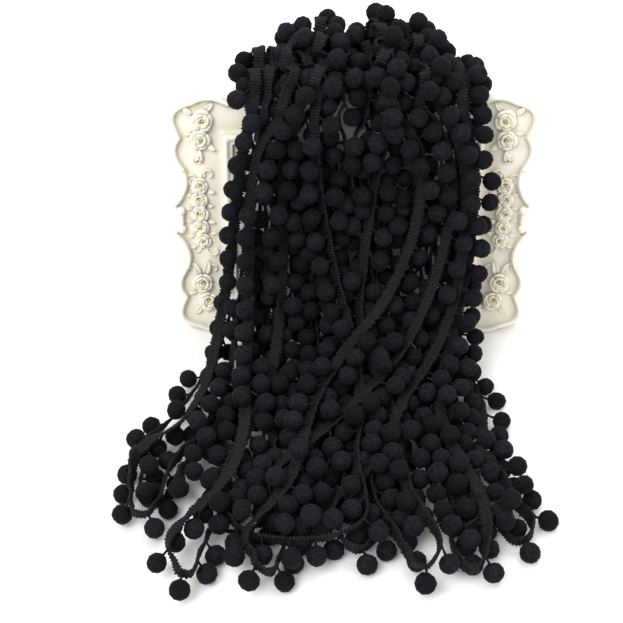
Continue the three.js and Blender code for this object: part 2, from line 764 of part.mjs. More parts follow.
// One pompom and its stem, four-sided: a point, two rings twisted by half a step, and a stem that
// ends inside the band.
function pompom(ball) {
  const { middle, across } = band[2 * ball];
  const centre = settledPoint(2 * stationCount + ball);
  const root = middle.clone().addScaledVector(across, bandWidth / 2 - rootDepth);
  const axis = root.clone().sub(centre).normalize();
  const one = new THREE.Vector3(0, 0, 1).cross(axis);
  if (one.lengthSq() < 0.01) one.set(1, 0, 0).cross(axis);
  one.normalize();
  const two = new THREE.Vector3().crossVectors(axis, one);
  const ring = (along, radius, turn) => [0, 1, 2, 3].map((k) => {
    const angle = ((k + turn) * Math.PI) / 2;
    return centre.clone()
      .addScaledVector(axis, along)
      .addScaledVector(one, radius * Math.cos(angle))
      .addScaledVector(two, radius * Math.sin(angle));
  });
  const high = ballRadius * Math.sin(ringAngle);
  const wide = ballRadius * Math.cos(ringAngle);
  return skinRings([
    [centre.clone().addScaledVector(axis, -ballRadius)],
    ring(-high, wide, 0),
    ring(high, wide, 0.5),
    ring(ballRadius - 0.3, stemRadius, 0.5),
    [root],
  ]);
}

// The pompoms that stand clearest of the pile, up to the number that the model shows.
function shownPompoms() {
  const centres = [];
  for (let ball = 0; ball < ballCount; ball += 1) centres.push(settledPoint(2 * stationCount + ball));
  const crowd = centres.map((centre, ball) => {
    const near = centres.filter((other) => other.distanceTo(centre) < crowdReach);
    const pull = new THREE.Vector3();
    near.forEach((other) => pull.add(other.clone().sub(centre)));
    return { ball, crowding: near.length - (openWeight * pull.length()) / crowdReach };
  });
  crowd.sort((a, b) => a.crowding - b.crowding || a.ball - b.ball);
  return new Set(crowd.slice(0, mostPompoms).map(({ ball }) => ball));
}

const materials = {
  trim: new THREE.MeshStandardMaterial({ color: 0x0d0d11, roughness: 0.95, metalness: 0 }),
  resin: new THREE.MeshStandardMaterial({ color: 0xe6dfcd, roughness: 0.4, metalness: 0 }),
  print: new THREE.MeshStandardMaterial({ color: 0xd8d6d0, roughness: 0.2, metalness: 0 }),
  board: new THREE.MeshStandardMaterial({ color: 0x3a3634, roughness: 0.9, metalness: 0 }),
};

function meshOf(name, solid, material) {
  const { vertProperties, triVerts } = solid.getMesh();
  const geometry = new THREE.BufferGeometry();
  geometry.setAttribute('position', new THREE.BufferAttribute(Float32Array.from(vertProperties), 3));
  geometry.setIndex([...triVerts]);
  const mesh = new THREE.Mesh(geometry, material);
  mesh.name = name;
  return mesh;
}

// The band is cut into stretches at the frame's top and where it reaches the table, and a wide loop
// also in its middle.
function cutStations() {
  const cuts = [{ at: 0, zone: 'back' }];
  const zoneOf = (down) => (down < 0 ? 'back' : down < tableStart ? 'fall' : 'table');
  for (let k = 3; k + 3 < stationCount; k += 2) {
    const zone = zoneOf(band[k].down);
    if (zone !== cuts[cuts.length - 1].zone) cuts.push({ at: k, zone });
  }
  return cuts.flatMap(({ at, zone }, index) => {
    const end = index + 1 < cuts.length ? cuts[index + 1].at : stationCount - 1;
    const places = band.slice(at, end + 1).map(({ middle }) => middle.x);
    const wide = Math.max(...places) - Math.min(...places) > widestStretch;
    if (zone === 'fall' || !wide) return [{ at, zone }];
    return [{ at, zone }, { at: at + 2 * Math.floor((end - at) / 4), zone }];
  });
}

function trimMeshes() {
  const shown = shownPompoms();
  const cuts = cutStations();
  const numbers = { back: 0, fall: 0, table: 0 };
  const names = { back: 'back_loop', fall: 'fall', table: 'table_loop' };
  return cuts.map(({ at, zone }, index) => {
    const end = index + 1 < cuts.length ? cuts[index + 1].at : stationCount - 1;
    let solid = bandStretch(at, end);
    for (let ball = Math.ceil(at / 2); 2 * ball <= end; ball += 1) {
      if (shown.has(ball)) solid = solid.add(pompom(ball));
    }
    numbers[zone] += 1;
    return meshOf(`${names[zone]}_${String(numbers[zone]).padStart(2, '0')}`, solid, materials.trim);
  });
}

function solidOf(geometry) {
  const bare = geometry.clone();
  bare.deleteAttribute('normal');
  bare.deleteAttribute('uv');
  const merged = mergeVertices(bare, 1e-4);
  return solidFrom(merged.attributes.position.array, merged.index.array);
}

// A quarter of the frame's outline from its crown down to half height, as curves drawn towards a
// point: two lobes at the corner, two small ones below them, a drawn-in waist and a scroll's end.
const outlineStart = [0, 83];
const outlineCurves = [
  { towards: [40, 84], end: [70, 76] },
  { towards: [90, 84], end: [103.6, 76.4] },
  { towards: [121, 76], end: [111, 56] },
  { towards: [116, 48], end: [109.3, 39] },
  { towards: [116, 34], end: [111, 27] },
  { towards: [109, 18], end: [113, 12] },
  { towards: [121, 9], end: [113, 0] },
];

function frameOutline() {
  const quarter = [];
  let [x, y] = outlineStart;
  outlineCurves.forEach(({ towards, end }) => {
    for (let k = 0; k < outlineSteps; k += 1) {
      const u = k / outlineSteps;
      const mix = (a, b, c) => a * (1 - u) * (1 - u) + 2 * b * u * (1 - u) + c * u * u;
      quarter.push([mix(x, towards[0], end[0]), mix(y, towards[1], end[1])]);
    }
    [x, y] = end;
  });
  quarter.push([x, y]);
  const lower = quarter.slice(0, -1).reverse().map(([u, v]) => [u, -v]);
  const right = [...quarter, ...lower];
  const left = right.slice(1, -1).reverse().map(([u, v]) => [-u, v]);
  return [...right, ...left];
}

// The outline as a closed shape, drawn in towards its middle by a share.
function outlineShape(share) {
  const { middle } = frame.opening;
  return new THREE.Shape(frameOutline().map(([x, y]) => new THREE.Vector2(x * share, y * share + middle)));
}

function rectangle(width, height, Kind) {
  const shape = new Kind();
  const { middle } = frame.opening;
  shape.moveTo(-width / 2, middle - height / 2);
  shape.lineTo(width / 2, middle - height / 2);
  shape.lineTo(width / 2, middle + height / 2);
  shape.lineTo(-width / 2, middle + height / 2);
  shape.closePath();
  return shape;
}

// A plate of a shape between two depths of the frame, turned to its leaning place.
function plate(shape, back, thickness, edge = 0) {
  const geometry = new THREE.ExtrudeGeometry(shape, {
    depth: thickness - 2 * edge,
    bevelEnabled: edge > 0,
    bevelThickness: edge,
    bevelSize: edge,
    bevelOffset: -edge,
    bevelSegments: 1,
    curveSegments: 4,
  });
  geometry.translate(0, 0, back + edge).rotateX(Math.PI / 2 - frame.lean);
  return solidOf(geometry);
}

// A border with rounded lobes around the opening, with a wide hollow between its rim and a raised
// bead, cut flat where it stands on the table.
function moulding() {
  const { opening, thickness, cove, roundedEdge } = frame;
  const opened = rectangle(opening.width, opening.height, THREE.Shape);
  const hollow = outlineShape(cove.rimShare);
  const beaded = [opening.width, opening.height].map((size) => size + 2 * cove.beadWidth);
  hollow.holes.push(rectangle(...beaded, THREE.Path));
  const table = new THREE.BoxGeometry(600, 600, 100).translate(0, 0, -50);
  return plate(outlineShape(1), -thickness / 2, thickness, roundedEdge)
    .subtract(plate(opened, -thickness, 2 * thickness))
    .subtract(plate(hollow, thickness / 2 - cove.depth, thickness))
    .subtract(solidOf(table));
}

// The strut is a flat bar from the frame's back down to the table behind it.
function strutSolid() {
  const { strut, thickness } = frame;
  const depth = thickness / 2 + gap;
  const onBack = (rise) => new THREE.Vector2(
    rise * leanSin + depth * leanCos,
    rise * leanCos - depth * leanSin,
  );
  const profile = new THREE.Shape([
    onBack(strut.top),
    onBack(strut.top - strut.head),
    new THREE.Vector2(strut.foot - strut.sole, 0),
    new THREE.Vector2(strut.foot, 0),
  ]);
  const geometry = new THREE.ExtrudeGeometry(profile, { depth: strut.width, bevelEnabled: false });
  geometry.translate(0, 0, -strut.width / 2);
  geometry.applyMatrix4(new THREE.Matrix4().makeBasis(
    new THREE.Vector3(0, 1, 0),
    new THREE.Vector3(0, 0, 1),
    new THREE.Vector3(1, 0, 0),
  ));
  return solidOf(geometry);
}

function frameMeshes() {
  const { opening, panel, board } = frame;
  const inner = rectangle(opening.width - 2 * gap, opening.height - 2 * gap, THREE.Shape);
  return [
    meshOf('frame_moulding', moulding(), materials.resin),
    meshOf('frame_panel', plate(inner, panel.back, panel.thickness), materials.print),
    meshOf('frame_backboard', plate(inner, board.back, board.thickness), materials.board),
    meshOf('frame_strut', strutSolid(), materials.board),
  ];
}

const part = new THREE.Group();
part.add(...frameMeshes(), ...trimMeshes());

export default part;
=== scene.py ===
"""The looks of a black pompom trim that hangs in folds over a leaning picture frame.

The trim's layout and the way in which its folds settle on each other are those of the part's solids,
worked out again here in millimetres. The braid, the pompoms and the frame are then modelled on it.
"""

import math

import bmesh
import bpy
import numpy as np
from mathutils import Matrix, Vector


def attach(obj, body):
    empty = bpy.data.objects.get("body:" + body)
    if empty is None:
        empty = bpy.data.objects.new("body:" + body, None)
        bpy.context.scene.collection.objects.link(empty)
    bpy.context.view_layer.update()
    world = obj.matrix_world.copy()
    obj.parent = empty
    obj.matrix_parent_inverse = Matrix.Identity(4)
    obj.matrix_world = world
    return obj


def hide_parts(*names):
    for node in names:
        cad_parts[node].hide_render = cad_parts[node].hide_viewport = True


bl_info = {
    "name": "Pompom Trim on a Picture Frame",
    "version": (1, 0, 0),
    "blender": (4, 5, 0),
    "location": "3D View > Sidebar > Trim",
    "description": "Models a draped pompom trim and the ornate picture frame that it hangs from",
    "category": "Object",
}

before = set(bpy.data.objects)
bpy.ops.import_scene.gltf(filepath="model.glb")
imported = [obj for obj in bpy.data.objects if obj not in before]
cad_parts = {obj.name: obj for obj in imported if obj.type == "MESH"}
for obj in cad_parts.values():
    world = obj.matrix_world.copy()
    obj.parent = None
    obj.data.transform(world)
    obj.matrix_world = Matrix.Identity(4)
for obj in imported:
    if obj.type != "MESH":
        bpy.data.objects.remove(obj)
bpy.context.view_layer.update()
MM = 0.001

# What is modelled, in the order in which it is made.
STEPS = ("braid", "pompoms", "moulding", "flowers", "backing", "stage")

# Name of the pieces of trim, their length and its zone, and start of the names of the nodes that they
# stand for.
PARTS = (
    ("falls", "falls", "fall", "fall"),
    ("table_loops", "falls", "table", "table_loop"),
    ("back_loops", "falls", "back", "back_loop"),
    ("tucked_folds", "tucked", None, None),
)

# The trim and the frame, in mm, as in the part's solids.
BALL_RADIUS = 6.0
BALL_PITCH = 14.5
STEM_RADIUS = 1.2
BAND_WIDTH = 7.4
BAND_THICKNESS = 2.0
STATION_STEP = BALL_PITCH / 2
TOP_HEIGHT = 166.0
FRAME_THICKNESS = 12.0
LEAN = 17.5 * (math.pi / 180)
LEAN_SIN = math.sin(LEAN)
LEAN_COS = math.cos(LEAN)
GAP = 0.3
EDGE_CLEARANCE = 2.0
HANG_GAP = FRAME_THICKNESS / 2 + BAND_WIDTH / 2 - BAND_THICKNESS / 2 + EDGE_CLEARANCE
FOOT_BEND = 90.0
FIRST_LAYER = 4.0
LAYER_STEP = 2.9
LAYER_PACKED = 1.25

# Distances down the innermost layer at which the table of falls gives a place across.
LEVELS = {"crest": 0, "high": 40, "middle": 80, "low": 130, "apron": 200, "hem": 265}

# Each row is one fall from the frame's top to the table, in the order in which the band runs.
COLUMNS = (
    "crest", "high", "middle", "low", "apron", "hem", "toe", "reach", "layer", "side", "back",
)
FALLS = [
    dict(zip(COLUMNS, row))
    for row in (
        (-58, -68, -74, -78, -88, -108, -130, 276, 14, -1, 52),
        (-50, -58, -64, -70, -78, -92, -112, 306, 11, 0, 34),
        (-36, -60, -66, -66, -64, -62, -104, 344, 18, 0.8, 34),
        (-14, -50, -56, -54, -58, -80, -84, 328, 8, 0, 40),
        (-28, -44, -44, -43, -48, -66, -72, 326, 15, -0.5, 40),
        (-22, -26, -20, -10, -2, 3, 6, 324, 19, 0.4, 30),
        (14, 42, 41, 30, -4, -30, -62, 342, 21, 0.8, 30),
        (0, 12, 18, -5, -35, -50, -40, 330, 5, 0, 36),
        (34, 58, 62, 53, 36, -14, -52, 306, 20, 0.8, 36),
        (8, 0, -8, -24, -22, -34, -22, 296, 10, 0, 34),
        (44, 66, 70, 68, 58, 20, -16, 314, 17, 0.9, 34),
        (26, 34, 36, 30, 24, 4, 12, 326, 4, 0, 42),
        (20, 16, 9, 5, 2, 24, 44, 342, 16, 0.5, 42),
        (-8, -6, 4, 12, 12, 10, 22, 334, 12, 0, 36),
        (62, 72, 76, 70, 62, 50, 70, 334, 13, 1, 36),
        (52, 54, 52, 50, 46, 38, 52, 340, 6.5, 0, 46),
        (66, 66, 64, 66, 70, 74, 98, 318, 3, 1, 46),
        (40, 40, 42, 44, 56, 60, 80, 316, 2, 0, 54),
        (-44, -36, -30, -28, -14, -4, -8, 310, 1, 0, 54),
        (-66, -62, -50, -60, -68, -90, -60, 300, 0, 0, 34),
    )
]
# Each row is one fold of a second length, most of which hides under the falls: its upper loop is
# tucked in behind them, and its lower one lies on the table between theirs. top is how far down it
# starts.
TUCKED_COLUMNS = ("top", "middle", "low", "apron", "hem", "toe", "reach", "layer", "roll")
TUCKED = [
    dict(zip(TUCKED_COLUMNS, row))
    for row in (
        (58, -58, -58, -92, -122, -128, 286, 4, 130),
        (58, -46, -48, -64, -92, -112, 300, 5, 110),
        (46, -36, -40, -48, -52, -74, 302, 6, 80),
        (46, -28, -30, -36, -44, -56, 322, 7, 100),
        (40, -20, -22, -26, -34, -40, 312, 6, 70),
        (40, -12, -14, -14, -20, -28, 330, 7, 110),
        (44, -4, -4, -4, -8, -6, 318, 6, 80),
        (44, 6, 6, 4, 2, 6, 300, 5, 100),
        (50, 16, 18, 14, 14, 18, 322, 6, 70),
        (50, 26, 28, 28, 28, 34, 306, 6, 110),
        (54, 36, 40, 40, 42, 48, 322, 5, 90),
        (54, 46, 52, 56, 60, 64, 300, 4, 70),
        (62, 54, 58, 60, 58, 70, 310, 4, 110),
        (62, 60, 64, 66, 66, 80, 292, 3, 70),
    )
]
# How far the loops bulge out past the folds that they join, and how near those may start.
TUCKED_BULGE = 10
FLOOR_BULGE = 14
BACK_BULGE = 10
NARROWEST_LOOP = 16
# The folds meander from side to side, and sway about their run in degrees.
MEANDER = 9
SWAY_ANGLE = 20
SWAY_PER_FALL, SWAY_PER_LEVEL, SWAY_PER_FOLD = 1.7, 2.3, 2.1
# The heap over the frame's top is highest at its middle and drops towards its sides, and the band
# lies flatter there.
CREST_MIDDLE = -4
CREST_REACH = 72
CREST_DROP = 0.75
CREST_ROLL = 0.3
# On the table the pile thins to these shares of its layers: near the loops, at their toes and, as a
# share of two folds' layers together, between them.
THIN_NEAR, THIN_TOE, THIN_APEX = 0.85, 0.7, 0.35
# The second length thins by a share from one distance down, over another one.
TUCKED_THIN, TUCKED_THIN_FROM, TUCKED_THIN_OVER = 0.6, 200, 130
# A loop's band stands on edge at its middle, with this roll in degrees.
UPRIGHT = 90
# Behind the frame a fold keeps its place and its roll over this share of its way down.
BACK_START = 0.6
TABLE_START = 215
# Longest piece of the curve through the way points.
FINE_STEP = 1.5
# Places are rounded to this many parts of a millimetre.
PARTS_OF_MM = 1e4

# How the folds settle on each other, and calm down without pull or weight. The lanes are the round
# bodies that stand for the band: one along each edge, LANE from its middle, and one along its middle.
SETTLE_STEPS = 520
CALM_STEPS = 200
TUCKED_STEPS = 300
TUCKED_CALM = 120
REBUILD_EVERY = 7
SEARCH_MARGIN = 2.6
NEAREST_STRETCH = 3
LANE = 2.6
LANE_RADIUS = 1.42
LANE_RADII = np.array([LANE_RADIUS, 1.1, LANE_RADIUS])
CLEARANCE = 0.68
BALL_SPARE = 0.05
BAND_LIFT = 0.3
DRAG = 0.9
MOST_DRIFT = 0.4
PULL = 0.012
GRAVITY = 0.02
STRENGTH = 1.35
TINY = 0.001
TINY_AREA = 1e-6
# Least and most length of the links that hold the band together. Those along it and across its
# diagonals are shares of their length when it lies flat, and the others are in mm.
SHORTEST, LONGEST = 0.8, 1.01
SLANT_SHORTEST, SLANT_LONGEST = 0.88, 1.06
TIGHTEST_BEND = 11.5
STEM_SHORTEST = 8.2
STEM_REACH = 10.9
# A spot on the stem next to the band keeps clear too: its share of the way to the band, its radius.
SPOT_SHARE = 0.7
SPOT_RADIUS = STEM_RADIUS + 0.1
# How the pompoms start: how much shorter their stems are, and how they lean along and down.
STEM_SLACK = 0.5
STEM_LEAN = 0.3
STEM_DROOP = 0.5
# A tucked pompom that would sink into another by more than this is left out.
MOST_OVERLAP = 1.5

# The innermost layer's course in Y and Z: down behind the frame, round its crest, down its front,
# round a bend at its foot and out on the table.
CREST_ALONG = TOP_HEIGHT - FRAME_THICKNESS / 2
CREST_CENTRE = (CREST_ALONG * LEAN_SIN, CREST_ALONG * LEAN_COS)
CREST_HALF = (HANG_GAP * (math.pi - LEAN)) / 2
FRONT_NORMAL = (-LEAN_COS, LEAN_SIN)
FRONT_START = (
    CREST_CENTRE[0] + FRONT_NORMAL[0] * HANG_GAP,
    CREST_CENTRE[1] + FRONT_NORMAL[1] * HANG_GAP,
)
TABLE_HEIGHT = BAND_THICKNESS / 2
BEND_ANGLE = math.pi / 2 - LEAN
FRONT_LENGTH = (FRONT_START[1] - TABLE_HEIGHT) / LEAN_COS - FOOT_BEND * math.tan(BEND_ANGLE / 2)
BEND_START = (FRONT_START[0] - LEAN_SIN * FRONT_LENGTH, FRONT_START[1] - LEAN_COS * FRONT_LENGTH)
BEND_CENTRE = (
    BEND_START[0] + FRONT_NORMAL[0] * FOOT_BEND,
    BEND_START[1] + FRONT_NORMAL[1] * FOOT_BEND,
)


def layer_point(down, offset):
    """The place and the normal, in Y and Z, at a distance down the innermost layer."""

    def place(y, z, ny, nz):
        return (y + ny * offset, z + nz * offset, ny, nz)

    if down < -CREST_HALF:
        return place(CREST_CENTRE[0] + HANG_GAP, CREST_CENTRE[1] + CREST_HALF + down, 1.0, 0.0)
    if down <= CREST_HALF:
        angle = (down + CREST_HALF) / HANG_GAP
        ny = math.cos(angle)
        nz = math.sin(angle)
        return place(CREST_CENTRE[0] + ny * HANG_GAP, CREST_CENTRE[1] + nz * HANG_GAP, ny, nz)
    along = down - CREST_HALF
    if along <= FRONT_LENGTH:
        y = FRONT_START[0] - LEAN_SIN * along
        return place(y, FRONT_START[1] - LEAN_COS * along, *FRONT_NORMAL)
    turned = (along - FRONT_LENGTH) / FOOT_BEND
    if turned <= BEND_ANGLE:
        angle = -LEAN - turned
        ny = -math.cos(angle)
        nz = -math.sin(angle)
        return place(BEND_CENTRE[0] - ny * FOOT_BEND, BEND_CENTRE[1] - nz * FOOT_BEND, ny, nz)
    out = (turned - BEND_ANGLE) * FOOT_BEND
    return place(BEND_CENTRE[0] - out, TABLE_HEIGHT, 0.0, 1.0)


def way_point(across, down, layer, roll):
    """A way point of the band: place across, distance down, offset of its layer, and roll."""
    return [across, down, FIRST_LAYER + LAYER_STEP * layer, roll * (math.pi / 180)]


def half_upright(roll):
    return 0.5 * roll + UPRIGHT / 2


def route_points():
    """Way points of the band, over all falls and the loops between them."""
    points = []

    def roll_of(row):
        return UPRIGHT + UPRIGHT * FALLS[row]["side"] * (1 if row % 2 == 0 else -1)

    def flat_roll(roll):
        return roll * CREST_ROLL if roll <= UPRIGHT else 180 - (180 - roll) * CREST_ROLL

    def heaped(fall):
        return fall["layer"] * (1 - CREST_DROP * ((fall["crest"] - CREST_MIDDLE) / CREST_REACH) ** 2)

    for row, fall in enumerate(FALLS):
        outgoing = row % 2 == 0
        other = FALLS[row + 1 if outgoing else row - 1]
        roll = roll_of(row)
        run = []
        for index, (name, down) in enumerate(LEVELS.items()):
            sway = SWAY_ANGLE * math.sin(SWAY_PER_FALL * row + SWAY_PER_LEVEL * index)
            if index == 0:
                run.append((fall["crest"], 0, heaped(fall), flat_roll(roll)))
            else:
                run.append((fall[name], down, fall["layer"], roll + sway))
        bends = MEANDER * (1 if row % 4 < 2 else -1)
        last = run[-1]
        before = run[-2]
        bent = ((last[0] + before[0]) / 2 + bends, (last[1] + before[1]) / 2, fall["layer"], roll)
        run.insert(len(run) - 1, bent)
        near = ((last[0] + fall["toe"]) / 2 - bends, (last[1] + fall["reach"]) / 2)
        run.append((*near, fall["layer"] * THIN_NEAR, roll))
        run.append((fall["toe"], fall["reach"], fall["layer"] * THIN_TOE, half_upright(roll)))
        run.insert(0, (fall["crest"], -BACK_START * fall["back"], heaped(fall), flat_roll(roll)))
        if not outgoing:
            apex = ((fall["toe"] + other["toe"]) / 2, max(fall["reach"], other["reach"]) + FLOOR_BULGE)
            points.append(way_point(*apex, (fall["layer"] + other["layer"]) * THIN_APEX, UPRIGHT))
            run.reverse()
        elif row > 0:
            prior = FALLS[row - 1]
            spread = max(0, NARROWEST_LOOP - abs(fall["crest"] - prior["crest"])) / 2
            sign = 1 if fall["crest"] >= prior["crest"] else -1
            middle = (prior["crest"] + fall["crest"]) / 2
            level = (heaped(prior) + heaped(fall)) / 2
            leaving = (prior["crest"] - sign * spread, -prior["back"], heaped(prior))
            arriving = (fall["crest"] + sign * spread, -fall["back"], heaped(fall))
            points.append(way_point(*leaving, half_upright(roll_of(row - 1))))
            points.append(way_point(middle, -prior["back"] - BACK_BULGE, level, UPRIGHT))
            points.append(way_point(*arriving, half_upright(roll)))
        points += [way_point(*point) for point in run]
    points[0][1] = -FALLS[0]["back"]
    points[-1][1] = -FALLS[-1]["back"]
    return points


def tucked_points():
    """Way points of the second length, laid out as the first ones are."""
    points = []
    for row, fold in enumerate(TUCKED):
        run = [(fold["middle"], fold["top"])]
        run += [(fold[name], LEVELS[name]) for name in ("middle", "low", "apron", "hem")]
        run.append(((fold["hem"] + fold["toe"]) / 2, (LEVELS["hem"] + fold["reach"]) / 2))
        run.append((fold["toe"], fold["reach"]))
        prior = TUCKED[row - 1]
        if row % 2:
            bulge = max(prior["reach"], fold["reach"]) + TUCKED_BULGE
            points.append(way_point((prior["toe"] + fold["toe"]) / 2, bulge, 1, UPRIGHT))
            run.reverse()
        elif row > 0:
            middle = (prior["middle"] + fold["middle"]) / 2
            points.append(way_point(middle, fold["top"] - TUCKED_BULGE, fold["layer"], UPRIGHT))
        for index, (across, down) in enumerate(run):
            thinned = 1 - TUCKED_THIN * max(0, down - TUCKED_THIN_FROM) / TUCKED_THIN_OVER
            roll = fold["roll"] + SWAY_ANGLE * math.sin(SWAY_PER_FOLD * row + index)
            points.append(way_point(across, down, fold["layer"] * thinned, roll))
    return points


def route_stations(points):
    """Stations at equal steps along a smooth curve through the way points."""
    count = len(points)
    spans = [math.dist(points[i][:2], points[i + 1][:2]) + 1 for i in range(count - 1)]

    def slope(i, c):
        if i == 0:
            return (points[1][c] - points[0][c]) / spans[0]
        if i == count - 1:
            return (points[i][c] - points[i - 1][c]) / spans[i - 1]
        before = (points[i][c] - points[i - 1][c]) / spans[i - 1]
        after = (points[i + 1][c] - points[i][c]) / spans[i]
        return (before * spans[i] + after * spans[i - 1]) / (spans[i - 1] + spans[i])

    fine = []
    for i in range(count - 1):
        pieces = math.ceil(spans[i] / FINE_STEP)
        slopes = [(slope(i, c), slope(i + 1, c)) for c in range(4)]
        for k in range(pieces):
            u = k / pieces
            values = []
            for c in range(4):
                h = spans[i]
                a = points[i][c]
                b = points[i + 1][c]
                rise = u * u * (3 - 2 * u)
                leave = u * (1 - u) * (1 - u) * h * slopes[c][0]
                arrive = u * u * (1 - u) * h * slopes[c][1]
                values.append(a + (b - a) * rise + leave - arrive)
            x, down, offset, roll = values
            y, z, ny, nz = layer_point(down, offset)
            fine.append((x, y, z, ny, nz, offset, down, roll))
    stations = []
    travelled = 0.0
    following = 0.0
    for a, b in zip(fine, fine[1:]):
        length = math.dist(a[:3], b[:3])
        while following <= travelled + length:
            u = (following - travelled) / length
            stations.append([p + (q - p) * u for p, q in zip(a, b)])
            following += STATION_STEP
        travelled += length
    if len(stations) % 2 == 0:
        stations.pop()
    return np.array(stations)


def rounded(values):
    return np.floor(values * PARTS_OF_MM + 0.5) / PARTS_OF_MM


def clamped(values, least, most):
    return np.minimum(np.maximum(values, least), most)


def dot(one, two):
    return one[..., 0] * two[..., 0] + one[..., 1] * two[..., 1] + one[..., 2] * two[..., 2]


def unit(vectors):
    return vectors / np.sqrt((vectors**2).sum(-1, keepdims=True))


def near_pairs(first, first_reach, second, second_reach, same):
    """Pairs of round bodies from two lists whose surfaces are nearer than the margin, in order. Where
    both lists are the same, each pair is given once."""
    dd = np.zeros((len(first), len(second)))
    for c in range(3):
        d = second[None, :, c] - first[:, None, c]
        dd += d * d
    reach = (first_reach[:, None] + second_reach[None, :]) + SEARCH_MARGIN
    found = dd < reach * reach
    i, j = np.nonzero(found)
    if same:
        keep = j > i
        i, j = i[keep], j[keep]
    return i, j


def start_places(stations):
    """Where the band's two edges and the pompoms start, where the edges are drawn to, and the
    stations that hold a pompom."""
    n = len(stations)
    knots = np.arange(0, n, 2)
    place = stations[:, :3]
    normal = unit(np.column_stack([np.zeros(n), stations[:, 3:5]]))
    offset = stations[:, 5]
    roll = stations[:, 7]
    ahead = place[np.minimum(np.arange(n) + 1, n - 1)]
    behind = place[np.maximum(np.arange(n) - 1, 0)]
    run = unit(ahead - behind)
    across = unit(np.cross(run, normal))
    out = np.cross(across, run)
    edge = across * np.cos(roll)[:, None] + out * np.sin(roll)[:, None]
    lean = edge[knots] + across[knots] * STEM_LEAN - np.array([0, 0, STEM_DROOP])
    lean = unit(lean) * (STEM_REACH - STEM_SLACK)
    plain = rounded(place - edge * LANE)
    held = rounded(place + edge * LANE)
    balls = rounded(place[knots] + edge[knots] * LANE + lean)
    shift = (FIRST_LAYER - offset) * (1 - LAYER_PACKED / LAYER_STEP)
    targets = [plain.copy(), held.copy()]
    for target in targets:
        for c in (1, 2):
            target[:, c] = rounded(target[:, c] + normal[:, c] * shift)
    return [plain, held, balls], targets, knots


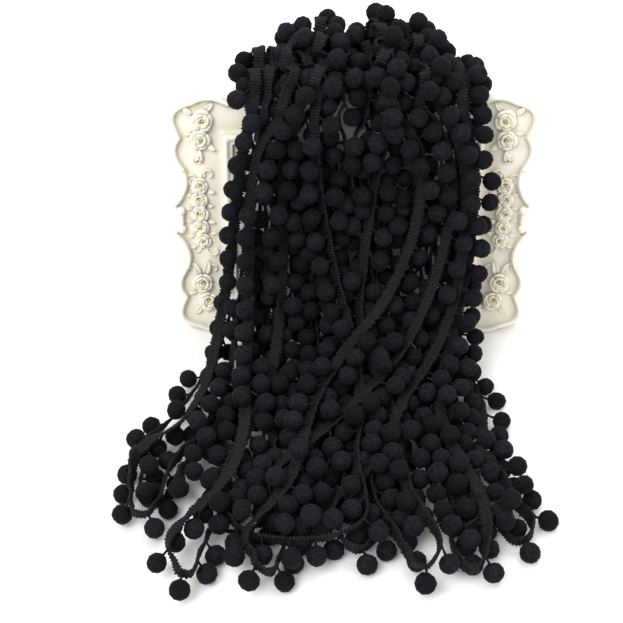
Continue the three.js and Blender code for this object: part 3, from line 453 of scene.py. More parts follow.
class Settling:
    """Lets the folds settle. The points p are the band's plain edge and its pompom edge at n stations,
    and then m pompoms. A length that has settled before may be given as still: its f stations come
    first, and stay put."""

    def __init__(self, stations, steps, calm, still=None):
        self.steps, self.fading = steps, steps - calm
        places, targets, knots = start_places(stations)
        first = [np.empty((0, 3))] * 3
        first_knots = np.empty(0, int)
        if still is not None:
            first = [still.plain, still.held, still.balls]
            first_knots = still.knots
        self.f = f = len(first[0])
        self.knots = np.concatenate([first_knots, f + knots])
        self.n = n = f + len(stations)
        self.m = m = len(self.knots)
        self.p = np.vstack([part for pair in zip(first, places) for part in pair])
        self.target = np.vstack([first[0], targets[0], first[1], targets[1]])
        self.last = self.p.copy()
        still_balls = 2 * n + np.arange(len(first_knots))
        self.fixed = np.concatenate([np.arange(f), n + np.arange(f), still_balls])
        self.still = self.p[self.fixed].copy()
        self.make_links()
        self.ball_a = np.repeat(2 * n + np.arange(m), 2)
        self.ball_b = np.repeat(n + self.knots, 2)
        self.share = np.tile([0.0, SPOT_SHARE], m)
        self.radius = np.tile([BALL_RADIUS, SPOT_RADIUS], m)
        self.own = np.repeat(self.knots, 2)

    def make_links(self):
        """Links that hold the band and the stems together: two points, least and most length."""
        n, m = self.n, self.m
        wide = 2 * LANE
        long = STATION_STEP
        slant = math.sqrt(wide * wide + long * long)
        k = np.arange(n)
        rows = [np.column_stack([k, n + k, np.full(n, wide), np.full(n, wide)])]

        def group(count, entries):
            k = np.arange(count)
            table = np.empty((count, len(entries), 4))
            for e, (i, j, least, most) in enumerate(entries):
                table[:, e, 0] = k + i
                table[:, e, 1] = k + j
                table[:, e, 2] = least
                table[:, e, 3] = most
            rows.append(table.reshape(-1, 4))

        slant_least, slant_most = slant * SLANT_SHORTEST, slant * SLANT_LONGEST
        sides = [(i, i + 1, long * SHORTEST, long * LONGEST) for i in (0, n)]
        group(n - 1, sides + [(0, n + 1, slant_least, slant_most), (n, 1, slant_least, slant_most)])
        group(n - 2, [(0, 2, TIGHTEST_BEND, 2 * long), (n, n + 2, TIGHTEST_BEND, 2 * long)])
        least, most = np.full(m, STEM_SHORTEST), np.full(m, STEM_REACH)
        rows.append(np.column_stack([n + self.knots, 2 * n + np.arange(m), least, most]))
        links = np.vstack(rows)
        links = links[~np.isin(links[:, :2], self.fixed).any(1)]
        self.link_i = links[:, 0].astype(int)
        self.link_j = links[:, 1].astype(int)
        self.least = links[:, 2]
        self.most = links[:, 3]

    def apply(self, points, moves, used=None):
        """Moves the listed points by moves(c) along each axis c. The moves of each point are added up
        in the order given, and their tempered mean is applied."""
        index = np.stack(points, 1).ravel()
        used = np.ones(len(index), bool) if used is None else np.stack(used, 1).ravel()
        index = index[used]
        size = len(self.p)
        count = np.bincount(index, minlength=size)
        share = STRENGTH / np.maximum(count, STRENGTH)
        for c in range(3):
            total = np.bincount(index, weights=np.stack(moves(c), 1).ravel()[used], minlength=size)
            self.p[:, c] += total * share
        self.p[self.fixed] = self.still

    def hold_links(self):
        """Brings each link back between its least and its most length."""
        p = self.p
        v = [p[self.link_j, c] - p[self.link_i, c] for c in range(3)]
        d = np.sqrt(v[0] * v[0] + v[1] * v[1] + v[2] * v[2])
        want = clamped(d, self.least, self.most)
        off = want != d
        s = (0.5 * (d - want))[off] / d[off]
        self.apply([self.link_i[off], self.link_j[off]], lambda c: [v[c][off] * s, -(v[c][off] * s)])

    def ball_places(self):
        p, share = self.p, self.share[:, None]
        return p[self.ball_a] * (1 - share) + p[self.ball_b] * share

    def find_pairs(self):
        """Lists the pompoms and the stretches of band that may touch before the next search."""
        n, p = self.n, self.p
        balls = self.ball_places()
        quads = 0.25 * (p[: n - 1] + p[n : 2 * n - 1] + p[1:n] + p[n + 1 : 2 * n])
        quad_radius = 0.5 * math.sqrt(STATION_STEP * STATION_STEP + 4 * LANE * LANE)
        ball_reach = self.radius + GAP / 2
        quad_reach = np.full(n - 1, quad_radius + LANE_RADIUS + GAP / 2)
        i, j = near_pairs(balls, ball_reach, balls, ball_reach, True)
        f = self.f
        keep = (self.own[i] != self.own[j]) & (self.own[j] >= f)
        self.ball_pairs = (i[keep], j[keep])
        i, k = near_pairs(balls, ball_reach, quads, quad_reach, False)
        own = self.own[i]
        keep = (self.radius[i] == BALL_RADIUS) | (k < own - 1) | (k > own)
        keep &= ((own >= f) | (k >= f)) & (k != f - 1)
        self.ball_quads = (i[keep], k[keep])
        k, l = near_pairs(quads, quad_reach, quads, quad_reach, True)
        keep = (l - k >= NEAREST_STRETCH) & (l >= f) & (k != f - 1)
        self.quad_pairs = (k[keep], l[keep])

    def part_balls(self):
        """Parts pompoms and stems from each other."""
        p = self.p
        i, j = self.ball_pairs
        s1, s2 = self.share[i], self.share[j]
        a1, b1, a2, b2 = self.ball_a[i], self.ball_b[i], self.ball_a[j], self.ball_b[j]
        v = []
        for c in range(3):
            start = p[a1, c] * (1 - s1) + p[b1, c] * s1
            end = p[a2, c] * (1 - s2) + p[b2, c] * s2
            v.append(end - start)
        least = self.radius[i] + self.radius[j] + GAP + BALL_SPARE
        dd = v[0] * v[0] + v[1] * v[1] + v[2] * v[2]
        hit = dd < least * least
        d = np.sqrt(dd[hit])
        s = (0.5 * (least[hit] - d)) / np.maximum(d, TINY)
        s1, s2 = s1[hit], s2[hit]
        true = np.ones(len(d), bool)

        def moves(c):
            w = v[c][hit]
            return [-w * s * (1 - s1), -w * s, w * s * (1 - s2), w * s]

        self.apply([a1[hit], b1[hit], a2[hit], b2[hit]], moves, [true, s1 > 0, true, s2 > 0])

    def lanes(self, k):
        """The three lanes along the band at stations k: plain edge, middle, pompom edge."""
        plain = self.p[k]
        held = self.p[self.n + k]
        return np.stack([plain, 0.5 * (plain + held), held], 1)

    def part_balls_from_band(self):
        """Parts pompoms and stems from the lanes of the band."""
        n = self.n
        i, k = self.ball_quads
        share = self.share[i][:, None]
        a1, b1 = self.ball_a[i], self.ball_b[i]
        a = self.lanes(k)
        v = self.lanes(k + 1) - a
        q = (self.p[a1] * (1 - share) + self.p[b1] * share)[:, None, :] - a
        u = clamped(dot(q, v) / dot(v, v), 0, 1)
        x = q - v * u[..., None]
        dd = dot(x, x)
        least = self.radius[i][:, None] + LANE_RADII[None, :] + CLEARANCE
        row, lane = np.nonzero(dd < least * least)
        d = np.sqrt(dd[row, lane])
        s = (0.5 * (least[row, lane] - d)) / np.maximum(d, TINY)
        u = u[row, lane]
        k = k[row]
        low, high = lane != 2, lane != 0

        def moves(c):
            w = x[row, lane, c] * s
            near, far = w * -(1 - u), w * -u
            return [w, w, near, near, far, far]

        points = [a1[row], b1[row], k, n + k, k + 1, n + k + 1]
        used = [np.ones(len(d), bool), self.share[i][row] > 0, low, high, low, high]
        self.apply(points, moves, used)

    def part_bands(self):
        """Parts the lanes of stretches that pass over each other, where they are nearest."""
        n = self.n
        k, l = self.quad_pairs
        p1 = self.lanes(k)[:, :, None, :]
        p2 = self.lanes(l)[:, None, :, :]
        d1 = self.lanes(k + 1)[:, :, None, :] - p1
        d2 = self.lanes(l + 1)[:, None, :, :] - p2
        r = p1 - p2
        a, e, b = dot(d1, d1), dot(d2, d2), dot(d1, d2)
        c1, f = dot(d1, r), dot(d2, r)
        s = clamped((b * f - c1 * e) / np.maximum(a * e - b * b, TINY_AREA), 0, 1)
        t = clamped((b * s + f) / e, 0, 1)
        s = clamped((b * t - c1) / a, 0, 1)
        x = r + d1 * s[..., None] - d2 * t[..., None]
        dd = dot(x, x)
        least = LANE_RADII[:, None] + LANE_RADII[None, :] + CLEARANCE
        row, one, two = np.nonzero(dd < (least * least)[None])
        d = np.sqrt(dd[row, one, two])
        g = (0.5 * (least[one, two] - d)) / np.maximum(d, TINY)
        s, t = s[row, one, two], t[row, one, two]
        k, l = k[row], l[row]
        low1, high1, low2, high2 = one != 2, one != 0, two != 2, two != 0

        def moves(c):
            w = x[row, one, two, c] * g
            near1, far1, near2, far2 = w * (1 - s), w * s, w * -(1 - t), w * -t
            return [near1, near1, far1, far1, near2, near2, far2, far2]

        points = [k, n + k, k + 1, n + k + 1, l, n + l, l + 1, n + l + 1]
        self.apply(points, moves, [low1, high1, low1, high1, low2, high2, low2, high2])

    def keep_out(self):
        """Nothing goes below the table or into the frame."""
        p, n = self.p, self.n
        radius = np.full(len(p), BALL_RADIUS)
        radius[: 2 * n] = LANE_RADIUS
        y, z = p[:, 1].copy(), p[:, 2].copy()
        rise = y * LEAN_SIN + z * LEAN_COS
        along = clamped(rise, 0, CREST_ALONG)
        dy = y - along * LEAN_SIN
        dz = z - along * LEAN_COS
        d = np.sqrt(dy * dy + dz * dz)
        least = FRAME_THICKNESS / 2 + EDGE_CLEARANCE + radius
        hit = d < least
        s = least / np.maximum(d, TINY)
        p[hit, 1] = (along * LEAN_SIN + dy * s)[hit]
        p[hit, 2] = (along * LEAN_COS + dz * s)[hit]
        lift = np.zeros(len(p))
        lift[: 2 * n] = BAND_LIFT
        p[:, 2] = np.maximum(p[:, 2], radius + lift)

    def step(self, number):
        p, n = self.p, self.n
        fade = 1 if number < self.fading else 0
        drift = clamped((p - self.last) * DRAG, -MOST_DRIFT, MOST_DRIFT)
        self.last = p.copy()
        p += drift * fade
        p[: 2 * n] += (self.target - p[: 2 * n]) * PULL * fade
        p[2 * n :, 2] -= GRAVITY * fade
        if number % REBUILD_EVERY == 0:
            self.find_pairs()
        self.hold_links()
        self.part_bands()
        self.part_balls_from_band()
        self.part_balls()
        self.keep_out()
        self.p[self.fixed] = self.still

    def settle(self):
        for number in range(self.steps):
            self.step(number)


class Length:
    """A settled length of trim: its plain and its pompom edge at each station, the pompoms' centres,
    the stations that hold them, and each station's distance down."""

    def __init__(self, settled, first_knot, down):
        n, f = settled.n, settled.f
        self.plain = settled.p[f:n]
        self.held = settled.p[n + f : 2 * n]
        self.balls = settled.p[2 * n + first_knot :]
        self.knots = settled.knots[first_knot:] - f
        self.down = down


def settle_trim():
    """The trim itself, and then the tucked folds on it, without the pompoms that find no room."""
    stations = route_stations(route_points())
    settled = Settling(stations, SETTLE_STEPS, CALM_STEPS)
    settled.settle()
    falls = Length(settled, 0, stations[:, 6])
    stations = route_stations(tucked_points())
    settled = Settling(stations, TUCKED_STEPS, TUCKED_CALM, falls)
    settled.settle()
    tucked = Length(settled, len(falls.balls), stations[:, 6])
    others = np.vstack([falls.balls, tucked.balls])
    middles = 0.5 * (falls.plain + falls.held)
    roomy = []
    for number, ball in enumerate(tucked.balls):
        away = np.sqrt(((others - ball) ** 2).sum(1))
        away[len(falls.balls) + number] = np.inf
        from_band = np.sqrt(((middles - ball) ** 2).sum(1))
        clear = min(away.min() - 2 * BALL_RADIUS, from_band.min() - BALL_RADIUS)
        roomy.append(clear > -MOST_OVERLAP)
    tucked.balls, tucked.knots = tucked.balls[roomy], tucked.knots[roomy]
    return {"falls": falls, "tucked": tucked}


TRIM = settle_trim()


def smooth_between(points, at):
    """Points on a smooth curve through all the points, at places counted in points."""
    last = len(points) - 1
    i = np.clip(np.floor(at).astype(int), 0, last - 1)
    u = (at - i)[:, None]
    p0, p1 = points[np.maximum(i - 1, 0)], points[i]
    p2, p3 = points[i + 1], points[np.minimum(i + 2, last)]
    square = (2 * p0 - 5 * p1 + 4 * p2 - p3) * u**2
    return 0.5 * (2 * p1 + (p2 - p0) * u + square + (3 * (p1 - p2) + p3 - p0) * u**3)


def zone_of(down):
    """Whether places at these distances down lie behind the frame, on its front or on the table."""
    return np.where(down < 0, "back", np.where(down < TABLE_START, "fall", "table"))


def stretches(length, zone):
    """Runs of stations that lie in one zone, each from its first station to the next zone's first."""
    down = length.down
    if zone is None:
        return [(0, len(down) - 1)]
    zones = zone_of(down)
    found = []
    start = 0
    for k in range(2, len(down) - 1, 2):
        if zones[k] != zones[start]:
            found.append((start, k, zones[start]))
            start = k
    found.append((start, len(down) - 1, zones[start]))
    return [(a, b) for a, b, name in found if name == zone]


def new_object(name, mesh, material):
    """A piece with a material, which rides on the part's one body."""
    obj = bpy.data.objects.new(name, mesh)
    bpy.context.scene.collection.objects.link(obj)
    mesh.materials.clear()
    mesh.materials.append(material)
    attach(obj, "root")
    return obj


def replace_nodes(start):
    """Hides the nodes whose names start so, where the piece stands for any."""
    if start:
        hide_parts(*sorted(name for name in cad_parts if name.startswith(start)))


def finished_mesh(made, name, crease=180):
    """The mesh of a bmesh, with its faces outwards, and smooth apart from edges that turn by more than
    the crease angle in degrees."""
    bmesh.ops.recalc_face_normals(made, faces=made.faces)
    mesh = bpy.data.meshes.new(name)
    made.to_mesh(mesh)
    made.free()
    mesh.polygons.foreach_set("use_smooth", [True] * len(mesh.polygons))
    if crease < 180:
        mesh.set_sharp_from_angle(angle=math.radians(crease))
    return mesh


# The braid.

# Least height of the trim over the table, in mm.
OFF_TABLE = 0.05
# The braid's section: half widths and half thicknesses, with a loop of yarn at each edge and a
# shallow groove along the middle of each face.
RIB_PROFILE = (
    (3.85, 0.0), (3.3, 0.95), (1.7, 0.95), (0.0, 0.72), (-1.7, 0.95), (-3.3, 0.95),
    (-3.85, 0.0), (-3.3, -0.95), (-1.7, -0.95), (0.0, -0.72), (1.7, -0.95), (3.3, -0.95),
)
# Each rib has a dip and two rings at its top, at these shares of the pitch. In the dip the braid is
# drawn in to these shares of its width and its thickness.
RIB_RINGS = (0.0, 0.3, 0.7)
DIP_WIDTH = 0.78
DIP_THICKNESS = 0.42
RIB_UNEVENNESS = 0.15
# Farther out than this the section is an edge, which is drawn in at a dip.
EDGE_FROM = 3
# How many stations the trim's two cut ends reach on, and how finely each is divided.
CUT_END = 0.25
FINENESS = 8
MERGE_DISTANCE = 1e-6
BRAID_SEED = 5


def braid_rings(length, first, last, rib_pitch, rng):
    """The rings of points around one stretch of braid, and which of them are dips."""
    plain, held = length.plain, length.held
    start = first - (CUT_END if first == 0 else 0)
    end = last + (CUT_END if last == len(plain) - 1 else 0)
    fine = np.linspace(start, end, max(FINENESS, (last - first) * FINENESS))
    middle = 0.5 * (smooth_between(plain, fine) + smooth_between(held, fine))
    run = np.concatenate([[0], np.cumsum(np.sqrt((np.diff(middle, axis=0) ** 2).sum(1)))])
    ribs = max(2, round(run[-1] / rib_pitch))
    places = np.append((np.arange(ribs)[:, None] + RIB_RINGS).ravel(), ribs) / ribs * run[-1]
    at = np.interp(places, run, fine)
    low, high = smooth_between(plain, at), smooth_between(held, at)
    middle = 0.5 * (low + high)
    across = unit(high - low)
    along = np.gradient(middle, places, axis=0)
    along = unit(along - across * (along * across).sum(1, keepdims=True))
    through = np.cross(along, across)
    rings = len(places)
    dip = np.arange(rings) % len(RIB_RINGS) == 0
    points = np.empty((rings, len(RIB_PROFILE), 3))
    wide = np.repeat(rng.uniform(-1, 1, (ribs + 1, 2)), len(RIB_RINGS), 0)[:rings] * RIB_UNEVENNESS
    for j, (u, v) in enumerate(RIB_PROFILE):
        nub = RIB_UNEVENNESS * rng.uniform(-1, 1, rings)
        width = u * np.where(dip, DIP_WIDTH if abs(u) > EDGE_FROM else 1.0, 1 + wide[:, int(u > 0)])
        height = v * np.where(dip, DIP_THICKNESS, 1 + nub)
        points[:, j] = middle + across * width[:, None] + through * height[:, None]
    points[..., 2] = np.maximum(points[..., 2], OFF_TABLE)
    return points, dip


def braid_mesh(name, length, zone, rib_pitch):
    """All stretches of braid in a zone, each a flat grid rolled up around its run."""
    made = bmesh.new()
    made.verts.layers.float.new("dip_shade")
    around = len(RIB_PROFILE)
    rng = np.random.default_rng(BRAID_SEED)
    for first, last in stretches(length, zone):
        points, dip = braid_rings(length, first, last, rib_pitch, rng)
        rings = len(points)
        grid = bmesh.new()
        dip_shade = grid.verts.layers.float.new("dip_shade")
        bmesh.ops.create_grid(grid, x_segments=rings - 1, y_segments=around, size=1)
        for vert in grid.verts:
            ring = round((vert.co.x + 1) / 2 * (rings - 1))
            side = round((vert.co.y + 1) / 2 * around) % around
            vert.co = points[ring, side] * MM
            # The dips between the ribs are marked here for the painted shade that the braid's material
            # puts in them.
            vert[dip_shade] = float(dip[ring])
        bmesh.ops.remove_doubles(grid, verts=grid.verts, dist=MERGE_DISTANCE)
        bmesh.ops.holes_fill(grid, edges=grid.edges, sides=around)
        stretch = bpy.data.meshes.new("stretch")
        grid.to_mesh(stretch)
        grid.free()
        made.from_mesh(stretch)
        bpy.data.meshes.remove(stretch)
    return finished_mesh(made, name)


# The pompoms.

POMPOM_SEED = 11
# How far the pile reaches, and how uneven it is, as shares of the pompom's radius.
PILE_REACH = 1.03
PILE_LUMPS = 0.016
# A pompom's sizes as shares of the full one, across, across and along its stem: least, and range.
PILE_LEAST = np.array([0.90, 0.94, 0.90])
PILE_RANGE = np.array([0.11, 0.08, 0.10])
# The pattern of strands is taken this far on for the next pompom, and drawn out along the stems.
PATTERN_STEP = 10
STEM_PATTERN = (1, 1, 2)
STEM_SIDES = 5
# The stem's radius at its root, at its middle and at the pompom, how far it sags, and how deep it
# goes into the braid and into the pompom, in mm.
STEM_RADII = (0.85, 0.7, 0.95)
STEM_SAG = 0.25
STEM_ROOT = 0.5
STEM_SUNK = 1.2
# A stem stands upright where its share across, squared, is below this.
NEARLY_UPRIGHT = 0.01


def pompom_pattern():
    """The points of a round pile and those of a stem of unit radius and length, and the faces of
    both together."""
    made = bmesh.new()
    count = len(bmesh.ops.create_icosphere(made, subdivisions=2, radius=PILE_REACH)["verts"])
    turns = 2 * math.pi * np.arange(STEM_SIDES) / STEM_SIDES
    steps = np.linspace(0, 1, len(STEM_RADII))
    grow_rings(made, [[(math.cos(turn), math.sin(turn), step) for turn in turns] for step in steps])
    made.verts.index_update()
    points = np.array([vert.co[:] for vert in made.verts])
    faces = [[vert.index for vert in face.verts] for face in made.faces]
    made.free()
    return points[:count], points[count:], faces


def side_axes(axis, turn):
    """Two axes square to the one given, turned about it."""
    one = np.cross([0, 0, 1], axis)
    if (one**2).sum() < NEARLY_UPRIGHT:
        one = np.cross([1, 0, 0], axis)
    one = unit(one)
    two = np.cross(axis, one)
    return one * math.cos(turn) + two * math.sin(turn), two * math.cos(turn) - one * math.sin(turn)


def pompom_mesh(name, length, zone, seed):
    """All pompoms in a zone with their stems, as copies of one pattern, each a little different."""
    rng = np.random.default_rng(seed)
    zones = zone_of(length.down)
    pompom, stem, faces = pompom_pattern()
    stem_radius = np.interp(stem[:, 2], np.linspace(0, 1, len(STEM_RADII)), STEM_RADII)[:, None]
    along = stem[:, 2:]
    verts, polys, piles, shades = [], [], [], []
    for number, (k, centre) in enumerate(zip(length.knots, length.balls)):
        turn, thick, deep, wide, shade = rng.random(5)
        lay = rng.normal(0, 1, (3, 3))
        lumps = rng.normal(0, PILE_LUMPS, len(pompom))
        if zone is not None and zones[min(k, len(zones) - 2)] != zone:
            continue
        across = unit(length.held[k] - length.plain[k])
        root = length.held[k] + across * (BAND_WIDTH / 2 - LANE - STEM_ROOT)
        axis = unit(root - centre)
        one, two = side_axes(axis, turn * 2 * math.pi)
        scale = PILE_LEAST + PILE_RANGE * (thick, wide, deep)
        pile = pompom * (BALL_RADIUS * (1 + lumps)[:, None]) * scale
        tip = centre + axis * (BALL_RADIUS - STEM_SUNK)
        run = root + (tip - root) * along
        run[:, 2:] -= STEM_SAG * 4 * along * (1 - along)
        turned, _ = np.linalg.qr(lay)
        base = len(verts) // 2 * (len(pompom) + len(stem))
        polys += [[base + i for i in face] for face in faces]
        verts.append(centre + pile[:, :1] * one + pile[:, 1:2] * two + pile[:, 2:] * axis)
        verts.append(run + stem_radius * (stem[:, :1] * one + stem[:, 1:2] * two))
        piles.append(pompom @ turned + PATTERN_STEP * number)
        piles.append(stem * STEM_PATTERN)
        shades.append(np.full(len(pompom) + len(stem), shade))
    points = np.vstack(verts)
    points[:, 2] = np.maximum(points[:, 2], OFF_TABLE)
    mesh = bpy.data.meshes.new(name)
    mesh.from_pydata(points * MM, [], polys)
    mesh.attributes.new("shade", "FLOAT", "POINT").data.foreach_set("value", np.concatenate(shades))
    lays = mesh.attributes.new("pile", "FLOAT_VECTOR", "POINT")
    lays.data.foreach_set("vector", np.vstack(piles).ravel())
    made = bmesh.new()
    made.from_mesh(mesh)
    bpy.data.meshes.remove(mesh)
    return finished_mesh(made, name)


# The picture frame.

# The opening, and how far up the face its middle is, in mm.
OPENING_WIDTH = 152.0
OPENING_HEIGHT = 100.0
OPENING_MIDDLE = 80.0
# The upper right quarter of the outline, about the opening's middle: its start, and then curves, each
# given by the point that it bends towards and its end.
OUTLINE_START = (0.0, 83.0)
OUTLINE_CURVES = (
    ((32, 86), (52, 79)),
    ((64, 83.5), (78.6, 77.5)),
    ((90, 84.5), (101.6, 78.0)),
    ((122.5, 73.5), (111.4, 54.6)),
    ((119, 46), (110.3, 33.5)),
    ((106.6, 27), (109.4, 20.5)),
    ((111.5, 15), (114.6, 12.5)),
    ((118.5, 8.5), (113.2, 4.2)),
    ((111.6, 2.4), (112.0, 0)),
)
OUTLINE_STEPS = 12

# The moulding's section. From the outline inwards: distance from it, height over the frame's middle
# plane, and how deep in the hollow the place is, from 0 to 1, which is how much of the hollows'
# tint it gets: partly a wash brushed into them, partly painted shade.
RIM_SECTION = (
    (1.4, -6.0, 0), (0.4, -5.4, 0), (0.0, -4.2, 0), (0.0, 3.2, 0), (0.15, 4.8, 0), (0.7, 5.8, 0),
    (1.5, 6.2, 0), (2.3, 5.9, 0), (2.9, 5.0, 0.4), (3.2, 3.9, 1), (3.6, 3.1, 1), (4.4, 2.7, 0.7),
)
# From there to the foot of the bead: share of the way, height, and how deep in the hollow.
FIELD_SECTION = (
    (0.12, 2.5, 0.25), (0.28, 2.6, 0.1), (0.45, 2.6, 0.05), (0.6, 2.35, 0.1), (0.74, 1.9, 0.3),
    (0.86, 1.5, 0.5), (0.95, 1.7, 0.55), (1.0, 2.7, 0.4),
)
# From the bead's foot to the back: distance out from the opening, height, and how deep in the hollow.
BEAD_SECTION = (
    (7.0, 3.6, 0.5), (6.5, 4.8, 0), (5.6, 5.8, 0), (4.3, 6.2, 0), (3.2, 5.7, 0), (2.6, 4.8, 0.6),
    (1.9, 4.4, 0.4), (1.0, 4.5, 0), (0.3, 4.0, 0), (0.0, 3.0, 0), (0.0, -6.0, 0),
)
# A ring near the rim keeps the back flat. It is this share of the way from the rim to the bead.
BACK_SHARE = 0.1
# Edges that turn by more degrees than this are crisp.
MOULDING_CREASE = 42


def move_into_place(points):
    """Turns points given across, up the leaning face and out of it, in mm, to their place in metres."""
    x, rise, out = points[:, 0], points[:, 1], points[:, 2]
    y = rise * LEAN_SIN - out * LEAN_COS
    z = rise * LEAN_COS + out * LEAN_SIN
    return np.column_stack([x, y, z]) * MM


def frame_outline():
    """The frame's outline about the middle of its opening, clockwise from its crown."""
    quarter = []
    start = np.array(OUTLINE_START, float)
    for towards, end in OUTLINE_CURVES:
        towards, end = np.array(towards, float), np.array(end, float)
        for u in np.arange(OUTLINE_STEPS) / OUTLINE_STEPS:
            quarter.append(start * (1 - u) ** 2 + 2 * towards * u * (1 - u) + end * u * u)
        start = end
    quarter.append(start)
    quarter = np.array(quarter)
    right = np.vstack([quarter, quarter[:-1][::-1] * [1, -1]])
    return np.vstack([right, right[1:-1][::-1] * [-1, 1]])


def drawn_in(outline, distance):
    """The outline drawn in by a distance, with its corners eased."""
    ahead, behind = np.roll(outline, -1, 0), np.roll(outline, 1, 0)
    run = unit(ahead - outline) + unit(outline - behind)
    inward = unit(np.column_stack([run[:, 1], -run[:, 0]]))
    for _ in range(2):
        inward = unit(np.roll(inward, 1, 0) + 2 * inward + np.roll(inward, -1, 0))
    return outline + inward * distance


def rectangle_facing(outline, width, height):
    """A rectangle about the opening's middle, with a point in the direction of each of the outline's."""
    reach = np.maximum(np.abs(outline[:, 0]) / (width / 2), np.abs(outline[:, 1]) / (height / 2))
    return outline / reach[:, None]


def moulding_rings():
    """Rings of points over the moulding, from the back of its rim to the back of its opening."""
    outline = frame_outline()
    rings = []

    def add(flat, height, hollow):
        ring = np.column_stack([flat[:, 0], flat[:, 1] + OPENING_MIDDLE, np.full(len(flat), height)])
        rings.append((ring, hollow))

    for distance, height, hollow in RIM_SECTION:
        add(drawn_in(outline, distance), height, hollow)
    rim = drawn_in(outline, RIM_SECTION[-1][0])
    foot = 2 * BEAD_SECTION[0][0]
    bead = rectangle_facing(outline, OPENING_WIDTH + foot, OPENING_HEIGHT + foot)
    for share, height, hollow in FIELD_SECTION:
        add(rim * (1 - share) + bead * share, height, hollow)
    for out, height, hollow in BEAD_SECTION:
        add(rectangle_facing(outline, OPENING_WIDTH + 2 * out, OPENING_HEIGHT + 2 * out), height, hollow)
    add(rim * (1 - BACK_SHARE) + bead * BACK_SHARE, -FRAME_THICKNESS / 2, 0)
    return rings


def grow_rings(made, rings, closed=False):
    """Skins rings of points: a circle is placed on the first ring and extruded to each next one."""
    count = len(rings[0])

    def place(verts, ring):
        for vert, point in zip(verts, ring):
            vert.co = point

    def edges_of(verts):
        return [made.edges.get((verts[i], verts[(i + 1) % count])) for i in range(count)]

    verts = bmesh.ops.create_circle(made, segments=count, radius=1)["verts"]
    place(verts, rings[0])
    edges = first = edges_of(verts)
    for ring in rings[1:]:
        grown = bmesh.ops.extrude_edge_only(made, edges=edges)["geom"]
        new = {item for item in grown if isinstance(item, bmesh.types.BMVert)}
        verts = [next(e.other_vert(v) for e in v.link_edges if e.other_vert(v) in new) for v in verts]
        place(verts, ring)
        edges = edges_of(verts)
    if closed:
        bmesh.ops.bridge_loops(made, edges=edges + first)
    else:
        bmesh.ops.contextual_create(made, geom=first)
        bmesh.ops.contextual_create(made, geom=edges)


def moulding_mesh(name):
    """The moulding as a loop of its outline, extruded over its section and cut flat at the table."""
    rings = moulding_rings()
    made = bmesh.new()
    grow_rings(made, [move_into_place(ring) for ring, _ in rings], closed=True)
    # Each point is marked with its share of the hollows' tint, which is partly a wash and partly painted
    # shade.
    hollow = made.verts.layers.float.new("hollow")
    made.verts.ensure_lookup_table()
    depths = np.repeat([depth for _, depth in rings], len(rings[0][0]))
    for vert, depth in zip(made.verts, depths):
        vert[hollow] = depth
    geometry = made.verts[:] + made.edges[:] + made.faces[:]
    table = {"plane_co": (0, 0, 0), "plane_no": (0, 0, -1)}
    bmesh.ops.bisect_plane(made, geom=geometry, clear_outer=True, **table)
    bmesh.ops.holes_fill(made, edges=made.edges, sides=0)
    return finished_mesh(made, name, MOULDING_CREASE)


# The roses, leaves and curls that are cast on the moulding's sides. Places are across from the middle
# and up the face, and each is made on both sides. A rose has a place and a size.
ROSES = (
    (95.0, 145.5, 6.0), (96.5, 133.0, 5.6), (98.0, 103.0, 4.7), (98.7, 93.5, 4.8), (99.0, 84.0, 4.9),
    (98.6, 74.5, 4.7), (97.2, 65.3, 4.5), (98.6, 35.5, 5.9), (95.2, 22.5, 5.6), (82.5, 17.0, 5.2),
)
# Place of the leaf's stalk, direction in degrees from straight up, and length.
LEAVES = (
    (93.0, 151.0, -40, 8), (101.0, 149.0, 50, 8), (101.5, 138.0, 100, 6.5), (97.5, 128.0, 160, 10),
    (99.5, 128.0, 200, 10), (92.5, 130.0, 235, 7), (102.5, 104.0, 70, 6), (94.0, 99.0, 265, 6),
    (103.0, 97.0, 100, 5), (94.5, 89.0, 275, 5), (103.0, 88.0, 95, 6), (94.5, 79.0, 260, 6),
    (103.0, 78.5, 80, 5), (102.5, 70.0, 110, 6), (93.0, 70.0, 280, 5), (101.0, 63.0, 120, 6),
    (100.5, 40.5, 20, 10), (97.0, 41.0, -15, 11), (102.5, 30.0, 110, 7), (90.5, 24.0, 290, 7),
    (88.0, 17.0, 60, 6), (77.5, 19.0, -50, 7), (100.0, 18.0, 140, 7), (96.0, 107.5, -8, 6),
)
# Place of the curl's start, direction in degrees from straight up, size, and side to which it winds.
CURLS = (
    (97.5, 107.0, -10, 6.4, -1), (99.5, 106.5, 25, 4.6, 1), (95.5, 61.5, 190, 6.2, 1),
    (98.0, 61.0, 160, 4.4, -1), (96.0, 44.0, -25, 5.2, -1), (101.0, 44.5, 15, 4.6, 1),
    (96.0, 124.0, 200, 4.8, -1), (101.0, 123.0, 165, 4.2, 1), (74.0, 17.5, 275, 4.6, 1),
)
# Place, radius and height of the round ends in which the rim's scrolls finish.
KNOBS = (
    (110.9, 86.2, 3.2, 5.0), (110.9, 73.8, 3.2, 5.0),
    (109.0, 113.6, 1.9, 5.4), (109.0, 46.4, 1.9, 5.4),
)
FIELD_HEIGHT = 2.3
# How much larger than their listed sizes the roses are, and how each is turned, in degrees.
ROSE_SIZE = 1.1
ROSE_TURN, ROSE_SIDE_TURN = 67, 20
ROSE_SEED = 8
ROSE_PETALS = (
    # petals in the whorl, first one's turn, radius, height, half width in degrees, lean outwards
    (5, 10, 1.06, 0.46, 43, 0.60),
    (4, 40, 0.78, 0.66, 52, 0.34),
    (3, 20, 0.46, 0.60, 58, 0.16),
)
PETAL_THICKNESS = 0.12
PETAL_UNEVENNESS = 0.12
# A petal's reach: at its foot, how much more at its lip, and how much of its lean the lip rolls out.
PETAL_FOOT, PETAL_SPREAD, PETAL_ROLL = 0.45, 0.4, 0.3
